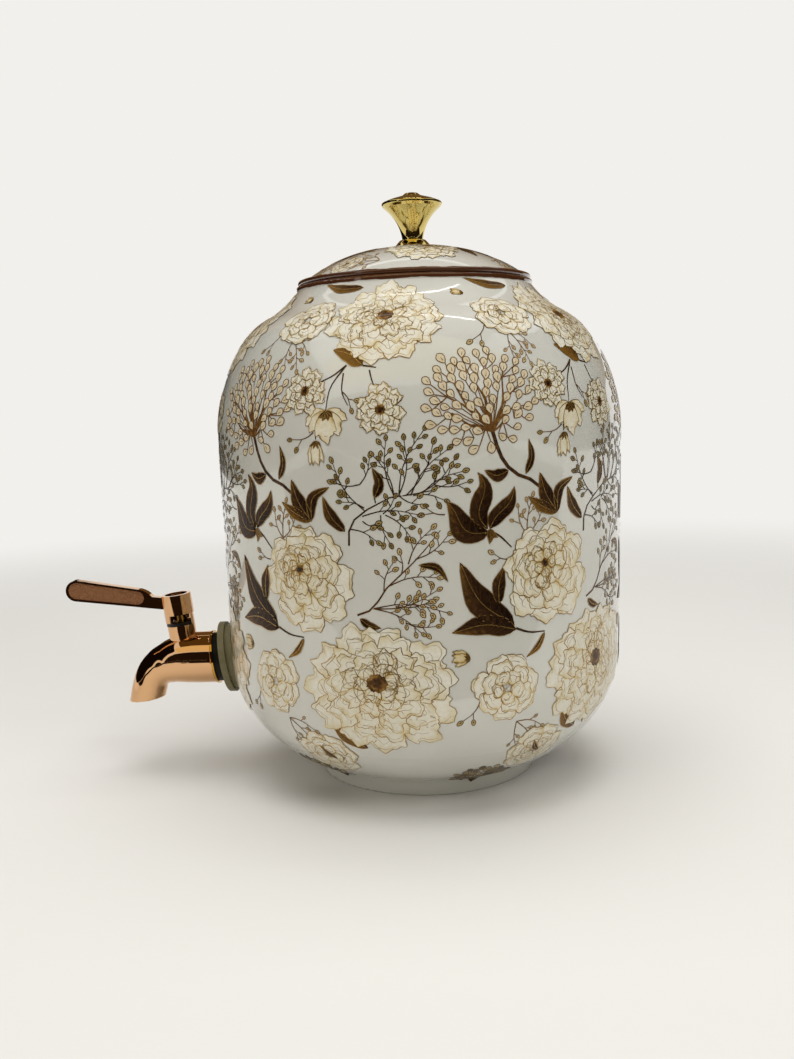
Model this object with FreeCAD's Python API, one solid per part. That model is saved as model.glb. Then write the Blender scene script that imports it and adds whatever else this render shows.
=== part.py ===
import FreeCAD, Part

import math
import os

# Clay water pot with a lift-off lid and a quarter-turn ball tap.
# Millimetres. +Z is up, the origin is on the pot's axis where its foot stands, and the tap
# points along -Y.

Vector = FreeCAD.Vector

# ---- Driving dimensions of the pot --------------------------------------------------------
POT_RADIUS = 100.0          # widest, high on the belly
WIDEST_HEIGHT = 168.0
RIM_HEIGHT = 242.4          # flat of the mouth, where the lid rests
MOUTH_RADIUS = 50.0
LIP_RADIUS = 58.3
LIP_SHOULDER_HEIGHT = 239.6
LIP_ROUND = 1.2
WALL = 5.5
FLOOR_HEIGHT = 13.5         # inside floor at the pot's axis

FOOT_RADIUS = 55.2          # foot ring at the ground
FOOT_TOP_RADIUS = 57.0
FOOT_HEIGHT = 7.8
FOOT_WIDTH = 8.0
FOOT_RECESS = 6.0           # hollow inside the foot ring

# The outside of the belly: radius and height of the points where its arcs meet.
BELLY_START_SLOPE = 18.0    # degrees, where the belly leaves the foot
BELLY_LOW = (87.5, 29.5)
BELLY_SIDE = (98.2, 61.0)
SIDE_SLOPE = 89.04          # degrees, the nearly straight side
SHOULDER = (87.3, 213.3)
NECK_START = (73.3, 226.5)

# ---- Driving dimensions of the lid and its knob --------------------------------------------
LID_FLANGE_RADIUS = 57.6
LID_FLANGE_HEIGHT = 2.6
DOME_RADIUS = 54.0
DOME_BREAK = (35.0, 255.2)
DOME_TOP = 259.9
DOME_SLOPE = 144.0          # degrees, where the dome leaves the flange
DOME_FLAT_RADIUS = 9.6
LID_WALL = 4.6
SKIRT_RADIUS = 48.4         # locating ring under the lid
SKIRT_WIDTH = 4.5
SKIRT_DEPTH = 9.0

COLLAR_BASE_RADIUS = 9.2
COLLAR_TOP_RADIUS = 6.9
COLLAR_HEIGHT = 4.0
KNOB_NECK_RADIUS = 5.1
KNOB_RIM_RADIUS = 15.1
KNOB_RIM_HEIGHT = 16.6      # above the collar
KNOB_HEIGHT = 22.6          # above the collar
KNOB_BUTTON_RADIUS = 3.6
SCREW_RADIUS = 2.5          # M5
SCREW_HOLE_RADIUS = 3.0

# ---- Driving dimensions of the tap ---------------------------------------------------------
TAP_HEIGHT = 56.8           # axis of the barrel
BARREL_RADIUS = 13.3
FLANGE_FACE = 108.8         # outer face of the thin gold flange, from the pot's axis
FLANGE_THICKNESS = 0.9
FLANGE_RADIUS = 13.7
RING_THICKNESS = 4.4        # black rubber ring behind the flange
RING_RADIUS = 12.5
SEAL_RADIUS = 18.7          # grey silicone seal against the pot
SEAL_STEP_RADIUS = 17.2
SEAL_FRONT = 3.2            # thickness of the seal's wide front disc
WALL_HOLE_RADIUS = 8.6
TAIL_RADIUS = 8.0           # M16 threaded tail
TAIL_BORE_RADIUS = 5.8
TAIL_END = 66.0             # inner end of the tail, from the pot's axis
INNER_WASHER_THICKNESS = 1.5
NUT_THICKNESS = 8.0
NUT_ACROSS_FLATS = 24.0

STEM_DISTANCE = 124.0       # where the stem's axis crosses the barrel's, from the pot's axis
STEM_LEAN = 6.5             # degrees, the stem leans outwards
BALL_RADIUS = 7.0
BALL_BORE_RADIUS = 4.0
BALL_CLEARANCE = 0.15
CAVITY_RADIUS = 9.5
CAVITY_DEPTH = 131.2        # blind end of the valve chamber, from the pot's axis
SEAT_BORE_RADIUS = 4.4
PLUG_LENGTH = 5.6           # how far the tail screws into the barrel

# Heights along the stem's axis, from the ball's centre.
NECK_TOP = 17.8
GLAND_BOTTOM = 14.6
STOP_TOP = 19.3
SKIRT_BOTTOM = 19.7
LUG_TOP = 23.2
HUB_BOTTOM = 23.6
HUB_TOP = 33.9
HUB_RECESS_FLOOR = 28.9

NECK_RADIUS = 7.1
NECK_BASE_RADIUS = 6.7
HUB_RADIUS = 7.55
HUB_RECESS_RADIUS = 5.7
STEM_RADIUS = 3.0
STEM_SEAL_RADIUS = 4.1
STEM_BORE_RADIUS = 4.2
RUNNING_CLEARANCE = 0.06
GLAND_RADIUS = 5.6
STOP_INNER_RADIUS = 5.0     # inside of the two stop lugs
O_RING_SECTION = 1.2
O_RING_HEIGHTS = (11.5, 13.3)
TONGUE_RADIUS = 3.0         # the stem's tongue, in the ball's slot
TONGUE_TOP = 7.1
STEM_WAIST_RADIUS = 2.6     # between the tongue and the seals
SEALS_BOTTOM = 10.3

LEVER_TURN = 90.0           # degrees from shut to open
HUB_LUG_HALF_ANGLE = 60.0   # either side of the lever
LUG_CLEARANCE = 2.0         # degrees between the lugs at each end of the turn

LEVER_THICKNESS = 4.6
LEVER_TIP_RADIUS = 5.4
LEVER_ROOT_RADIUS = 4.6
LEVER_TIP_CENTRE = (50.2, 42.8)     # distance from the stem's axis, height along it
LEVER_ROOT_CENTRE = (19.6, 34.7)
LEVER_NECK = (12.0, 31.2)
LEVER_JOINT = (5.6, 29.7)
LEVER_NECK_HALF_HEIGHT = 3.1
PANEL_MARGIN = 1.1
PANEL_DEPTH = 0.5

SPOUT_PIVOT = (136.4, 43.6)         # inner corner of the bend: distance out, height
SPOUT_MOUTH_HEIGHT = 34.6
SPOUT_MOUTH_RADIUS = 8.95
SPOUT_BORE_RADIUS = 6.5
SPOUT_RUN = 6.0                     # straight length at the mouth
SPOUT_START = 129.0                 # where the bend leaves the barrel
# Round sections along the bend: how far each has turned about the inner corner from upright, in
# degrees, and its diameter.
SPOUT_SECTIONS = ((14.0, 23.4), (32.0, 20.0), (52.0, 18.4), (72.0, 17.95))


def polar(length, degrees):
    """Point in the outline plane at a distance and an angle."""
    return length * math.cos(math.radians(degrees)), length * math.sin(math.radians(degrees))


class Outline:
    """A closed outline in the plane through the Z axis, drawn edge by edge."""

    def __init__(self, across, up):
        self.edges = []
        self.first = self.here = Vector(across, 0, up)
        self.heading = None

    def line(self, across, up):
        """Straight edge to a point."""
        there = Vector(across, 0, up)
        self.edges.append(Part.LineSegment(self.here, there).toShape())
        self.heading = math.atan2(there.z - self.here.z, there.x - self.here.x)
        self.here = there
        return self

    def turn(self, degrees):
        """Sets the direction in which the next arc starts."""
        self.heading = math.radians(degrees)
        return self

    def arc(self, across, up):
        """Arc to a point, tangent to the direction in which the outline was going."""
        there = Vector(across, 0, up)
        chord = there - self.here
        chord_angle = math.atan2(chord.z, chord.x)
        swing = math.remainder(self.heading - chord_angle, math.tau)
        side = Vector(-chord.z, 0, chord.x)
        middle = (self.here + there) * 0.5 + side * (0.5 * math.tan(swing / 2))
        self.edges.append(Part.Arc(self.here, middle, there).toShape())
        self.heading = chord_angle - swing
        self.here = there
        return self

    def face(self):
        """Closes the outline with a straight edge and fills it."""
        if self.here.distanceToPoint(self.first) > 1e-6:
            self.line(self.first.x, self.first.z)
        return Part.Face(Part.Wire(self.edges))

    def turned(self):
        """The solid that the outline sweeps round the Z axis."""
        return self.face().revolve(Vector(0, 0, 0), Vector(0, 0, 1), 360)


def disc(radius, bottom, top, bore=0.0):
    """Round disc about the Z axis, with a bore if one is given."""
    solid = Part.makeCylinder(radius, top - bottom, Vector(0, 0, bottom))
    if bore:
        solid = solid.cut(Part.makeCylinder(bore, top - bottom + 2, Vector(0, 0, bottom - 1)))
    return solid


def sector(inner, outer, bottom, top, start, end):
    """Part of a ring between two angles, counted from +X."""
    outline = Outline(inner, bottom).line(outer, bottom).line(outer, top).line(inner, top)
    solid = outline.face().revolve(Vector(0, 0, 0), Vector(0, 0, 1), end - start)
    solid.rotate(Vector(0, 0, 0), Vector(0, 0, 1), start)
    return solid


def hexagon(across_flats, bottom, top):
    """Hexagonal prism about the Z axis, with its corners turned off round."""
    corner = across_flats / math.sqrt(3)
    corners = [Vector(*polar(corner, 60 * step), bottom) for step in range(7)]
    prism = Part.Face(Part.makePolygon(corners)).extrude(Vector(0, 0, top - bottom))
    bevel = 0.6 * (corner - across_flats / 2)
    blank = Outline(0, bottom).line(across_flats / 2, bottom).line(corner, bottom + bevel)
    blank.line(corner, top - bevel).line(across_flats / 2, top).line(0, top)
    return prism.common(blank.turned())


def along_tap(solid):
    """Puts a solid made about the Z axis on the tap's axis: its Z becomes the way out."""
    solid.rotate(Vector(0, 0, 0), Vector(1, 0, 0), 90)
    solid.translate(Vector(0, 0, TAP_HEIGHT))
    return solid


def on_stem(solid):
    """Puts a solid made about the Z axis on the stem's axis, with its +X to the lever."""
    solid.rotate(Vector(0, 0, 0), Vector(0, 0, 1), -90)
    solid.rotate(Vector(0, 0, 0), Vector(1, 0, 0), STEM_LEAN)
    solid.translate(Vector(0, -STEM_DISTANCE, TAP_HEIGHT))
    return solid


# ---- The pot -------------------------------------------------------------------------------
def belly_outline(inset):
    """The outside of the belly from foot to lip, or the same curve moved in by a wall."""
    def moved(point, degrees):
        across, up = polar(inset, degrees)
        return point[0] - across, point[1] - up

    start = (FOOT_TOP_RADIUS, FOOT_HEIGHT)
    outline = Outline(*moved(start, BELLY_START_SLOPE - 90)).turn(BELLY_START_SLOPE)
    outline.arc(*moved(BELLY_LOW, heading_after(start, BELLY_START_SLOPE, BELLY_LOW) - 90))
    outline.arc(*moved(BELLY_SIDE, SIDE_SLOPE - 90))
    outline.line(*moved((POT_RADIUS, WIDEST_HEIGHT), SIDE_SLOPE - 90))
    shoulder_slope = heading_after((POT_RADIUS, WIDEST_HEIGHT), SIDE_SLOPE, SHOULDER)
    neck_slope = heading_after(SHOULDER, shoulder_slope, NECK_START)
    outline.arc(*moved(SHOULDER, shoulder_slope - 90))
    outline.arc(*moved(NECK_START, neck_slope - 90))
    return outline


def heading_after(start, degrees, end):
    """Direction at the end of an arc that leaves a point at an angle."""
    chord = math.degrees(math.atan2(end[1] - start[1], end[0] - start[0]))
    return 2 * chord - degrees


def pot_blank():
    """The pot's outside as a full solid, without its hollow."""
    outline = belly_outline(0.0)
    outline.arc(LIP_RADIUS, LIP_SHOULDER_HEIGHT)
    outline.line(LIP_RADIUS, RIM_HEIGHT - LIP_ROUND)
    outline.turn(90).arc(LIP_RADIUS - LIP_ROUND, RIM_HEIGHT)
    outline.line(0, RIM_HEIGHT).line(0, FOOT_RECESS)
    outline.line(FOOT_RADIUS - FOOT_WIDTH, FOOT_RECESS)
    outline.line(FOOT_RADIUS - FOOT_WIDTH, 0.8).turn(-90)
    outline.arc(FOOT_RADIUS - FOOT_WIDTH + 0.8, 0)
    outline.line(FOOT_RADIUS - 0.8, 0).arc(FOOT_RADIUS, 0.8)
    return outline.turned()


def pot_hollow():
    """The space inside the pot, from its floor out through the mouth."""
    outline = belly_outline(WALL)
    outline.arc(MOUTH_RADIUS, RIM_HEIGHT - 8.0)
    outline.line(MOUTH_RADIUS, RIM_HEIGHT + 5.0).line(0, RIM_HEIGHT + 5.0)
    return outline.line(0, FLOOR_HEIGHT).turned()


def make_pot_body():
    """Thrown and glazed pot: foot ring, belly, shoulder, mouth and the hole for the tap."""
    hole = Part.makeCylinder(WALL_HOLE_RADIUS, POT_RADIUS, Vector(0, 0, 0), Vector(0, -1, 0))
    hole.translate(Vector(0, -POT_RADIUS / 2, TAP_HEIGHT))
    return pot_blank().cut(pot_hollow()).cut(hole)


# ---- The lid -------------------------------------------------------------------------------
def make_lid():
    """Domed lid with a flange that rests on the lip and a ring that drops into the mouth."""
    flange_top = RIM_HEIGHT + LID_FLANGE_HEIGHT
    edge = LID_FLANGE_HEIGHT / 2
    dome_break_slope = heading_after((DOME_RADIUS, flange_top), DOME_SLOPE, DOME_BREAK)
    outline = Outline(SKIRT_RADIUS, RIM_HEIGHT).line(LID_FLANGE_RADIUS - edge, RIM_HEIGHT)
    outline.turn(0).arc(LID_FLANGE_RADIUS - edge, flange_top)
    outline.line(DOME_RADIUS, flange_top).turn(DOME_SLOPE)
    outline.arc(*DOME_BREAK).arc(DOME_FLAT_RADIUS, DOME_TOP)
    outline.line(SCREW_HOLE_RADIUS, DOME_TOP).line(SCREW_HOLE_RADIUS, DOME_TOP - LID_WALL)
    outline.line(DOME_FLAT_RADIUS, DOME_TOP - LID_WALL).turn(0)
    across, up = polar(LID_WALL, dome_break_slope - 90)
    outline.arc(DOME_BREAK[0] - across, DOME_BREAK[1] - up)
    outline.arc(SKIRT_RADIUS - SKIRT_WIDTH, RIM_HEIGHT + 1.0)
    outline.line(SKIRT_RADIUS - SKIRT_WIDTH, RIM_HEIGHT - SKIRT_DEPTH)
    outline.line(SKIRT_RADIUS - 1.0, RIM_HEIGHT - SKIRT_DEPTH)
    outline.turn(0).arc(SKIRT_RADIUS, RIM_HEIGHT - SKIRT_DEPTH + 1.0)
    return outline.turned()


def make_knob_collar():
    """Flared brass collar between the lid and the knob."""
    top = DOME_TOP + COLLAR_HEIGHT
    outline = Outline(SCREW_HOLE_RADIUS, DOME_TOP).line(COLLAR_BASE_RADIUS, DOME_TOP)
    outline.line(COLLAR_BASE_RADIUS, DOME_TOP + 0.5).turn(120).arc(COLLAR_TOP_RADIUS, top - 0.5)
    outline.line(COLLAR_TOP_RADIUS - 0.5, top).line(SCREW_HOLE_RADIUS, top)
    return outline.turned()


def make_lid_knob():
    """Turned brass knob, flared like a trumpet, with a low cone and a button on top."""
    foot = DOME_TOP + COLLAR_HEIGHT
    rim = foot + KNOB_RIM_HEIGHT
    top = foot + KNOB_HEIGHT
    outline = Outline(0, foot).line(KNOB_NECK_RADIUS, foot).turn(84)
    outline.arc(KNOB_RIM_RADIUS - 1.3, rim - 1.0)
    outline.line(KNOB_RIM_RADIUS - 0.5, rim).arc(KNOB_RIM_RADIUS - 0.7, rim + 1.6)
    outline.line(KNOB_RIM_RADIUS - 4.2, rim + 3.0).line(KNOB_BUTTON_RADIUS + 1.2, top - 1.2)
    outline.line(KNOB_BUTTON_RADIUS, top - 0.3).line(KNOB_BUTTON_RADIUS - 0.4, top).line(0, top)
    thread = disc(SCREW_RADIUS, foot - 1, foot + 9.0)
    return outline.turned().cut(thread)


def make_knob_screw():
    """Pan-head screw that comes up through the lid into the knob."""
    under = DOME_TOP - LID_WALL - 2.4
    outline = Outline(0, under - 2.6).line(3.4, under - 2.6).turn(0).arc(4.6, under)
    outline.line(SCREW_RADIUS, under).line(SCREW_RADIUS, DOME_TOP + COLLAR_HEIGHT + 8.0)
    outline.line(0, DOME_TOP + COLLAR_HEIGHT + 8.6)
    slot = Part.makeBox(12, 1.2, 1.4, Vector(-6, -0.6, under - 2.7))
    return outline.turned().cut(slot)


def make_knob_washer():
    """Steel washer under the screw's head."""
    top = DOME_TOP - LID_WALL - 1.4
    return disc(6.5, top - 1.0, top, SCREW_HOLE_RADIUS - 0.3)


def make_knob_seal():
    """Rubber washer between the steel washer and the glazed lid."""
    top = DOME_TOP - LID_WALL
    return disc(7.5, top - 1.4, top, SCREW_HOLE_RADIUS - 0.2)


# ---- The tap's fixed parts -----------------------------------------------------------------
def spout_section(angle, diameter, shrink=0.0):
    """Round section of the spout, standing on the bend's inner corner and turned about it."""
    middle = diameter / 2
    outward, up = SPOUT_PIVOT
    across = outward + middle * math.sin(math.radians(angle))
    height = up + middle * math.cos(math.radians(angle))
    normal = Vector(0, -math.cos(math.radians(angle)), -math.sin(math.radians(angle)))
    circle = Part.Circle(Vector(0, -across, height), normal, middle - shrink)
    return Part.Wire(circle.toShape())


def spout_loft(shrink, start_radius, mouth_radius):
    """The bent spout from the barrel to the mouth, as a full solid."""
    first = Part.Circle(Vector(0, -SPOUT_START, TAP_HEIGHT), Vector(0, -1, 0), start_radius)
    sections = [Part.Wire(first.toShape())]
    sections += [spout_section(angle, diameter, shrink) for angle, diameter in SPOUT_SECTIONS]
    across = SPOUT_PIVOT[0] + SPOUT_MOUTH_RADIUS
    top = SPOUT_MOUTH_HEIGHT + SPOUT_RUN
    last = Part.Circle(Vector(0, -across, top), Vector(0, 0, -1), mouth_radius)
    sections.append(Part.Wire(last.toShape()))
    bend = Part.makeLoft(sections, True, False)
    return bend.fuse(Part.makeCylinder(mouth_radius, SPOUT_RUN, Vector(0, -across, top),
                                       Vector(0, 0, -1)))


def make_tap_body():
    """Barrel, bent spout and inclined neck, cast in one, with the valve chamber inside."""
    barrel = along_tap(disc(BARREL_RADIUS, FLANGE_FACE, SPOUT_START))
    neck = Outline(0, 0).line(NECK_BASE_RADIUS, 0).line(NECK_RADIUS, NECK_TOP).line(0, NECK_TOP)
    lug_start = HUB_LUG_HALF_ANGLE + LEVER_TURN + LUG_CLEARANCE
    lug_end = 360 - HUB_LUG_HALF_ANGLE - LUG_CLEARANCE
    lug = sector(STOP_INNER_RADIUS + 0.1, NECK_RADIUS, NECK_TOP - 0.5, LUG_TOP, lug_start, lug_end)
    outside = barrel.fuse([spout_loft(0.0, BARREL_RADIUS, SPOUT_MOUTH_RADIUS),
                           on_stem(neck.turned()), on_stem(lug)])
    chamber = along_tap(disc(CAVITY_RADIUS, FLANGE_FACE - 1, CAVITY_DEPTH))
    wall = SPOUT_MOUTH_RADIUS - SPOUT_BORE_RADIUS
    passage = spout_loft(wall, SPOUT_BORE_RADIUS, SPOUT_BORE_RADIUS)
    mouth = Part.makeCylinder(SPOUT_BORE_RADIUS, SPOUT_RUN + 1,
                              Vector(0, -SPOUT_PIVOT[0] - SPOUT_MOUTH_RADIUS,
                                     SPOUT_MOUTH_HEIGHT - 1))
    stem_bore = on_stem(disc(STEM_BORE_RADIUS, 5.0, NECK_TOP + 1))
    gland_bore = on_stem(disc(GLAND_RADIUS, GLAND_BOTTOM, NECK_TOP + 0.01))
    return outside.cut([chamber, passage, mouth, stem_bore, gland_bore])


def make_tap_tail():
    """Threaded tail with the thin gold flange, screwed into the barrel behind the ball."""
    back = FLANGE_FACE - FLANGE_THICKNESS
    outline = Outline(TAIL_BORE_RADIUS, TAIL_END).line(TAIL_RADIUS - 0.8, TAIL_END)
    outline.line(TAIL_RADIUS, TAIL_END + 0.8).line(TAIL_RADIUS, back)
    outline.line(FLANGE_RADIUS, back).line(FLANGE_RADIUS, FLANGE_FACE)
    outline.line(CAVITY_RADIUS, FLANGE_FACE).line(CAVITY_RADIUS, FLANGE_FACE + PLUG_LENGTH)
    outline.line(TAIL_BORE_RADIUS, FLANGE_FACE + PLUG_LENGTH)
    return along_tap(outline.turned())


def make_flange_ring():
    """Black rubber ring between the flange and the grey seal."""
    front = FLANGE_FACE - FLANGE_THICKNESS
    return along_tap(disc(RING_RADIUS, front - RING_THICKNESS, front, TAIL_RADIUS))


def make_outer_seal():
    """Stepped silicone seal, pressed to the curve of the pot's side."""
    front = FLANGE_FACE - FLANGE_THICKNESS - RING_THICKNESS
    seal = disc(SEAL_RADIUS, front - SEAL_FRONT, front, TAIL_RADIUS)
    seal = seal.fuse(disc(SEAL_STEP_RADIUS, front - 12.0, front - SEAL_FRONT, TAIL_RADIUS))
    return along_tap(seal).cut(pot_blank())


def inside_wall():
    """Distance from the pot's axis to the flat back of the inner seal."""
    return BELLY_SIDE[0] - WALL - 5.2


def make_inner_seal():
    """Silicone seal inside the pot, pressed to the curve of the wall."""
    flat = inside_wall()
    seal = along_tap(disc(15.0, flat, flat + 12.0, TAIL_RADIUS))
    return seal.common(pot_hollow())


def make_inner_washer():
    """Steel washer behind the inner seal."""
    front = inside_wall()
    return along_tap(disc(14.0, front - INNER_WASHER_THICKNESS, front, TAIL_RADIUS))


def make_lock_nut():
    """Hexagon nut that clamps the tap to the wall."""
    front = inside_wall() - INNER_WASHER_THICKNESS
    nut = hexagon(NUT_ACROSS_FLATS, front - NUT_THICKNESS, front)
    return along_tap(nut.cut(disc(TAIL_RADIUS, front - NUT_THICKNESS - 1, front + 1)))


def make_ball_seat(start, end):
    """Seat ring with a hollow that fits the ball, between two distances from the pot's axis."""
    seat = disc(CAVITY_RADIUS - 0.05, start, end, SEAT_BORE_RADIUS)
    hollow = Part.makeSphere(BALL_RADIUS + BALL_CLEARANCE, Vector(0, 0, STEM_DISTANCE))
    return along_tap(seat.cut(hollow))


def make_gland_nut():
    """Brass gland that holds the stem down, sunk in the neck, with two spanner holes."""
    gland = disc(GLAND_RADIUS, GLAND_BOTTOM, NECK_TOP, STEM_RADIUS + RUNNING_CLEARANCE)
    holes = [Part.makeCylinder(0.6, 2, Vector(side * 4.3, 0, NECK_TOP - 1.5)) for side in (-1, 1)]
    return on_stem(gland.cut(holes))


def make_stop_washer():
    """Black thrust washer between the neck and the lever, notched round the fixed lug."""
    washer = disc(NECK_RADIUS + 0.15, NECK_TOP, STOP_TOP, STEM_RADIUS + 0.4)
    lug_start = HUB_LUG_HALF_ANGLE + LEVER_TURN + LUG_CLEARANCE
    lug_end = 360 - HUB_LUG_HALF_ANGLE - LUG_CLEARANCE
    notch = sector(STOP_INNER_RADIUS, NECK_RADIUS + 2, NECK_TOP - 1, STOP_TOP + 1,
                   lug_start - 1, lug_end + 1)
    return on_stem(washer.cut(notch))


# ---- The tap's moving parts ----------------------------------------------------------------
def make_valve_ball():
    """Ball with a cross bore, shut at rest, and a slot for the stem's tongue."""
    ball = Part.makeSphere(BALL_RADIUS)
    bore = Part.makeCylinder(BALL_BORE_RADIUS, 20, Vector(0, -10, 0), Vector(0, 1, 0))
    slot = Part.makeBox(20, 2.4, 5, Vector(-10, -1.2, BALL_RADIUS - 2.2))
    return on_stem(ball.cut([bore, slot]))


def make_valve_stem():
    """Brass stem: tongue in the ball, two seal grooves, and a flatted end for the lever."""
    tongue = disc(TONGUE_RADIUS, BALL_RADIUS - 2.0, TONGUE_TOP)
    tongue = tongue.common(Part.makeBox(20, 2.2, 20, Vector(-10, -1.1, 0)))
    outline = Outline(0, TONGUE_TOP).line(STEM_WAIST_RADIUS, TONGUE_TOP)
    outline.line(STEM_WAIST_RADIUS, SEALS_BOTTOM).line(STEM_SEAL_RADIUS, SEALS_BOTTOM)
    groove = O_RING_SECTION / 2 + 0.1
    for height in O_RING_HEIGHTS:
        outline.line(STEM_SEAL_RADIUS, height - groove)
        outline.line(STEM_SEAL_RADIUS + 0.05 - O_RING_SECTION, height - groove)
        outline.line(STEM_SEAL_RADIUS + 0.05 - O_RING_SECTION, height + groove)
        outline.line(STEM_SEAL_RADIUS, height + groove)
    outline.line(STEM_SEAL_RADIUS, GLAND_BOTTOM - 0.1).line(STEM_RADIUS, GLAND_BOTTOM - 0.1)
    outline.line(STEM_RADIUS, HUB_RECESS_FLOOR - 0.2).line(0, HUB_RECESS_FLOOR - 0.2)
    stem = tongue.fuse(outline.turned())
    for side in (-1, 1):
        flat = Part.makeBox(10, 2, 10, Vector(-5, side * 3.3 - 1, HUB_BOTTOM))
        stem = stem.cut(flat)
    return on_stem(stem.cut(disc(1.6, HUB_BOTTOM - 4, HUB_RECESS_FLOOR)))


def make_stem_o_rings():
    """The two rubber rings that seal the stem."""
    middle = STEM_SEAL_RADIUS + 0.05 - O_RING_SECTION / 2
    rings = [Part.makeTorus(middle, O_RING_SECTION / 2, Vector(0, 0, height))
             for height in O_RING_HEIGHTS]
    return on_stem(Part.makeCompound(rings))


def lever_outline(margin):
    """Side view of the lever's blade, or of the sunk panel a margin inside it."""
    slope = math.degrees(math.atan2(LEVER_TIP_CENTRE[1] - LEVER_ROOT_CENTRE[1],
                                    LEVER_TIP_CENTRE[0] - LEVER_ROOT_CENTRE[0]))

    def edge(centre, radius, degrees):
        across, up = polar(radius - margin, slope + degrees)
        return centre[0] + across, centre[1] + up

    outline = Outline(*edge(LEVER_ROOT_CENTRE, LEVER_ROOT_RADIUS, -90))
    outline.line(*edge(LEVER_TIP_CENTRE, LEVER_TIP_RADIUS, -90))
    outline.arc(*edge(LEVER_TIP_CENTRE, LEVER_TIP_RADIUS, 90))
    outline.line(*edge(LEVER_ROOT_CENTRE, LEVER_ROOT_RADIUS, 90))
    return outline


def make_lever_handle():
    """Lever and hub in one: skirt with a stop lug, recess for the screw, blade with panels."""
    hub = disc(HUB_RADIUS, HUB_BOTTOM, HUB_TOP)
    lug = sector(STOP_INNER_RADIUS + 0.4, HUB_RADIUS, SKIRT_BOTTOM, HUB_BOTTOM + 0.5,
                 -HUB_LUG_HALF_ANGLE, HUB_LUG_HALF_ANGLE)
    blade = lever_outline(0.0)
    above = (LEVER_NECK[0], LEVER_NECK[1] + LEVER_NECK_HALF_HEIGHT)
    below = (LEVER_NECK[0], LEVER_NECK[1] - LEVER_NECK_HALF_HEIGHT)
    blade.arc(*above)
    blade.line(LEVER_JOINT[0], LEVER_JOINT[1] + LEVER_NECK_HALF_HEIGHT)
    blade.line(LEVER_JOINT[0], LEVER_JOINT[1] - LEVER_NECK_HALF_HEIGHT).line(*below)
    lever = blade.face().extrude(Vector(0, LEVER_THICKNESS, 0))
    lever.translate(Vector(0, -LEVER_THICKNESS / 2, 0))
    handle = hub.fuse([lug, lever])
    recess = disc(HUB_RECESS_RADIUS, HUB_RECESS_FLOOR, HUB_TOP + 1)
    socket = disc(STEM_RADIUS + 0.02, HUB_BOTTOM - 1, HUB_RECESS_FLOOR + 0.5)
    socket = socket.common(Part.makeBox(20, 4.64, 20, Vector(-10, -2.32, HUB_BOTTOM - 1)))
    panel = lever_outline(PANEL_MARGIN)
    panel.arc(panel.first.x, panel.first.z)
    sunk = panel.face().extrude(Vector(0, LEVER_THICKNESS, 0))
    near = sunk.translated(Vector(0, LEVER_THICKNESS / 2 - PANEL_DEPTH, 0))
    far = sunk.translated(Vector(0, -1.5 * LEVER_THICKNESS + PANEL_DEPTH, 0))
    return on_stem(handle.cut([recess, socket, near, far]))


def make_handle_screw():
    """Pan-head screw in the hub's recess, which holds the lever on the stem."""
    outline = Outline(0, HUB_BOTTOM - 3).line(1.6, HUB_BOTTOM - 3)
    outline.line(1.6, HUB_RECESS_FLOOR).line(3.6, HUB_RECESS_FLOOR).turn(90)
    outline.arc(0, HUB_RECESS_FLOOR + 2.2)
    slot = Part.makeBox(10, 0.9, 2, Vector(-5, -0.45, HUB_RECESS_FLOOR + 1.1))
    return on_stem(outline.turned().cut(slot))


NODES = {
    "pot_body": make_pot_body,
    "lid": make_lid,
    "knob_collar": make_knob_collar,
    "lid_knob": make_lid_knob,
    "knob_screw": make_knob_screw,
    "knob_washer": make_knob_washer,
    "knob_seal": make_knob_seal,
    "tap_body": make_tap_body,
    "tap_tail": make_tap_tail,
    "flange_ring": make_flange_ring,
    "outer_seal": make_outer_seal,
    "inner_seal": make_inner_seal,
    "inner_washer": make_inner_washer,
    "lock_nut": make_lock_nut,
    "ball_seat_rear": lambda: make_ball_seat(FLANGE_FACE + PLUG_LENGTH, STEM_DISTANCE - 4.2),
    "ball_seat_front": lambda: make_ball_seat(STEM_DISTANCE + 4.2, CAVITY_DEPTH),
    "gland_nut": make_gland_nut,
    "stop_washer": make_stop_washer,
    "valve_ball": make_valve_ball,
    "valve_stem": make_valve_stem,
    "stem_o_rings": make_stem_o_rings,
    "lever_handle": make_lever_handle,
    "handle_screw": make_handle_screw,
}


def main():
    """Builds every node, prints its size and writes its STEP file."""
    os.makedirs("parts", exist_ok=True)
    for name, make in NODES.items():
        shape = make().removeSplitter() if name != "stem_o_rings" else make()
        box = shape.optimalBoundingBox()
        print(f"{name:16s} solids {len(shape.Solids)} valid {shape.isValid()} "
              f"volume {shape.Volume:10.1f} x {box.XMin:7.1f} {box.XMax:7.1f} "
              f"y {box.YMin:7.1f} {box.YMax:7.1f} z {box.ZMin:7.1f} {box.ZMax:7.1f}")
        shape.exportStep(f"parts/{name}.step")


main()
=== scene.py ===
"""Looks of a clay water pot: glazed and printed pot and lid, brass knob and plated ball tap.

Lengths are in millimetres in the sizes of every class, and mm() turns them to metres where a
mesh is made. +Z is up, the tap points along -Y, and the printed side faces +X.
"""

import logging
import math
from dataclasses import dataclass
from enum import Enum
from typing import Protocol

import bpy
import numpy as np
from mathutils import Matrix, Vector
from numpy.typing import ArrayLike


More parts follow.
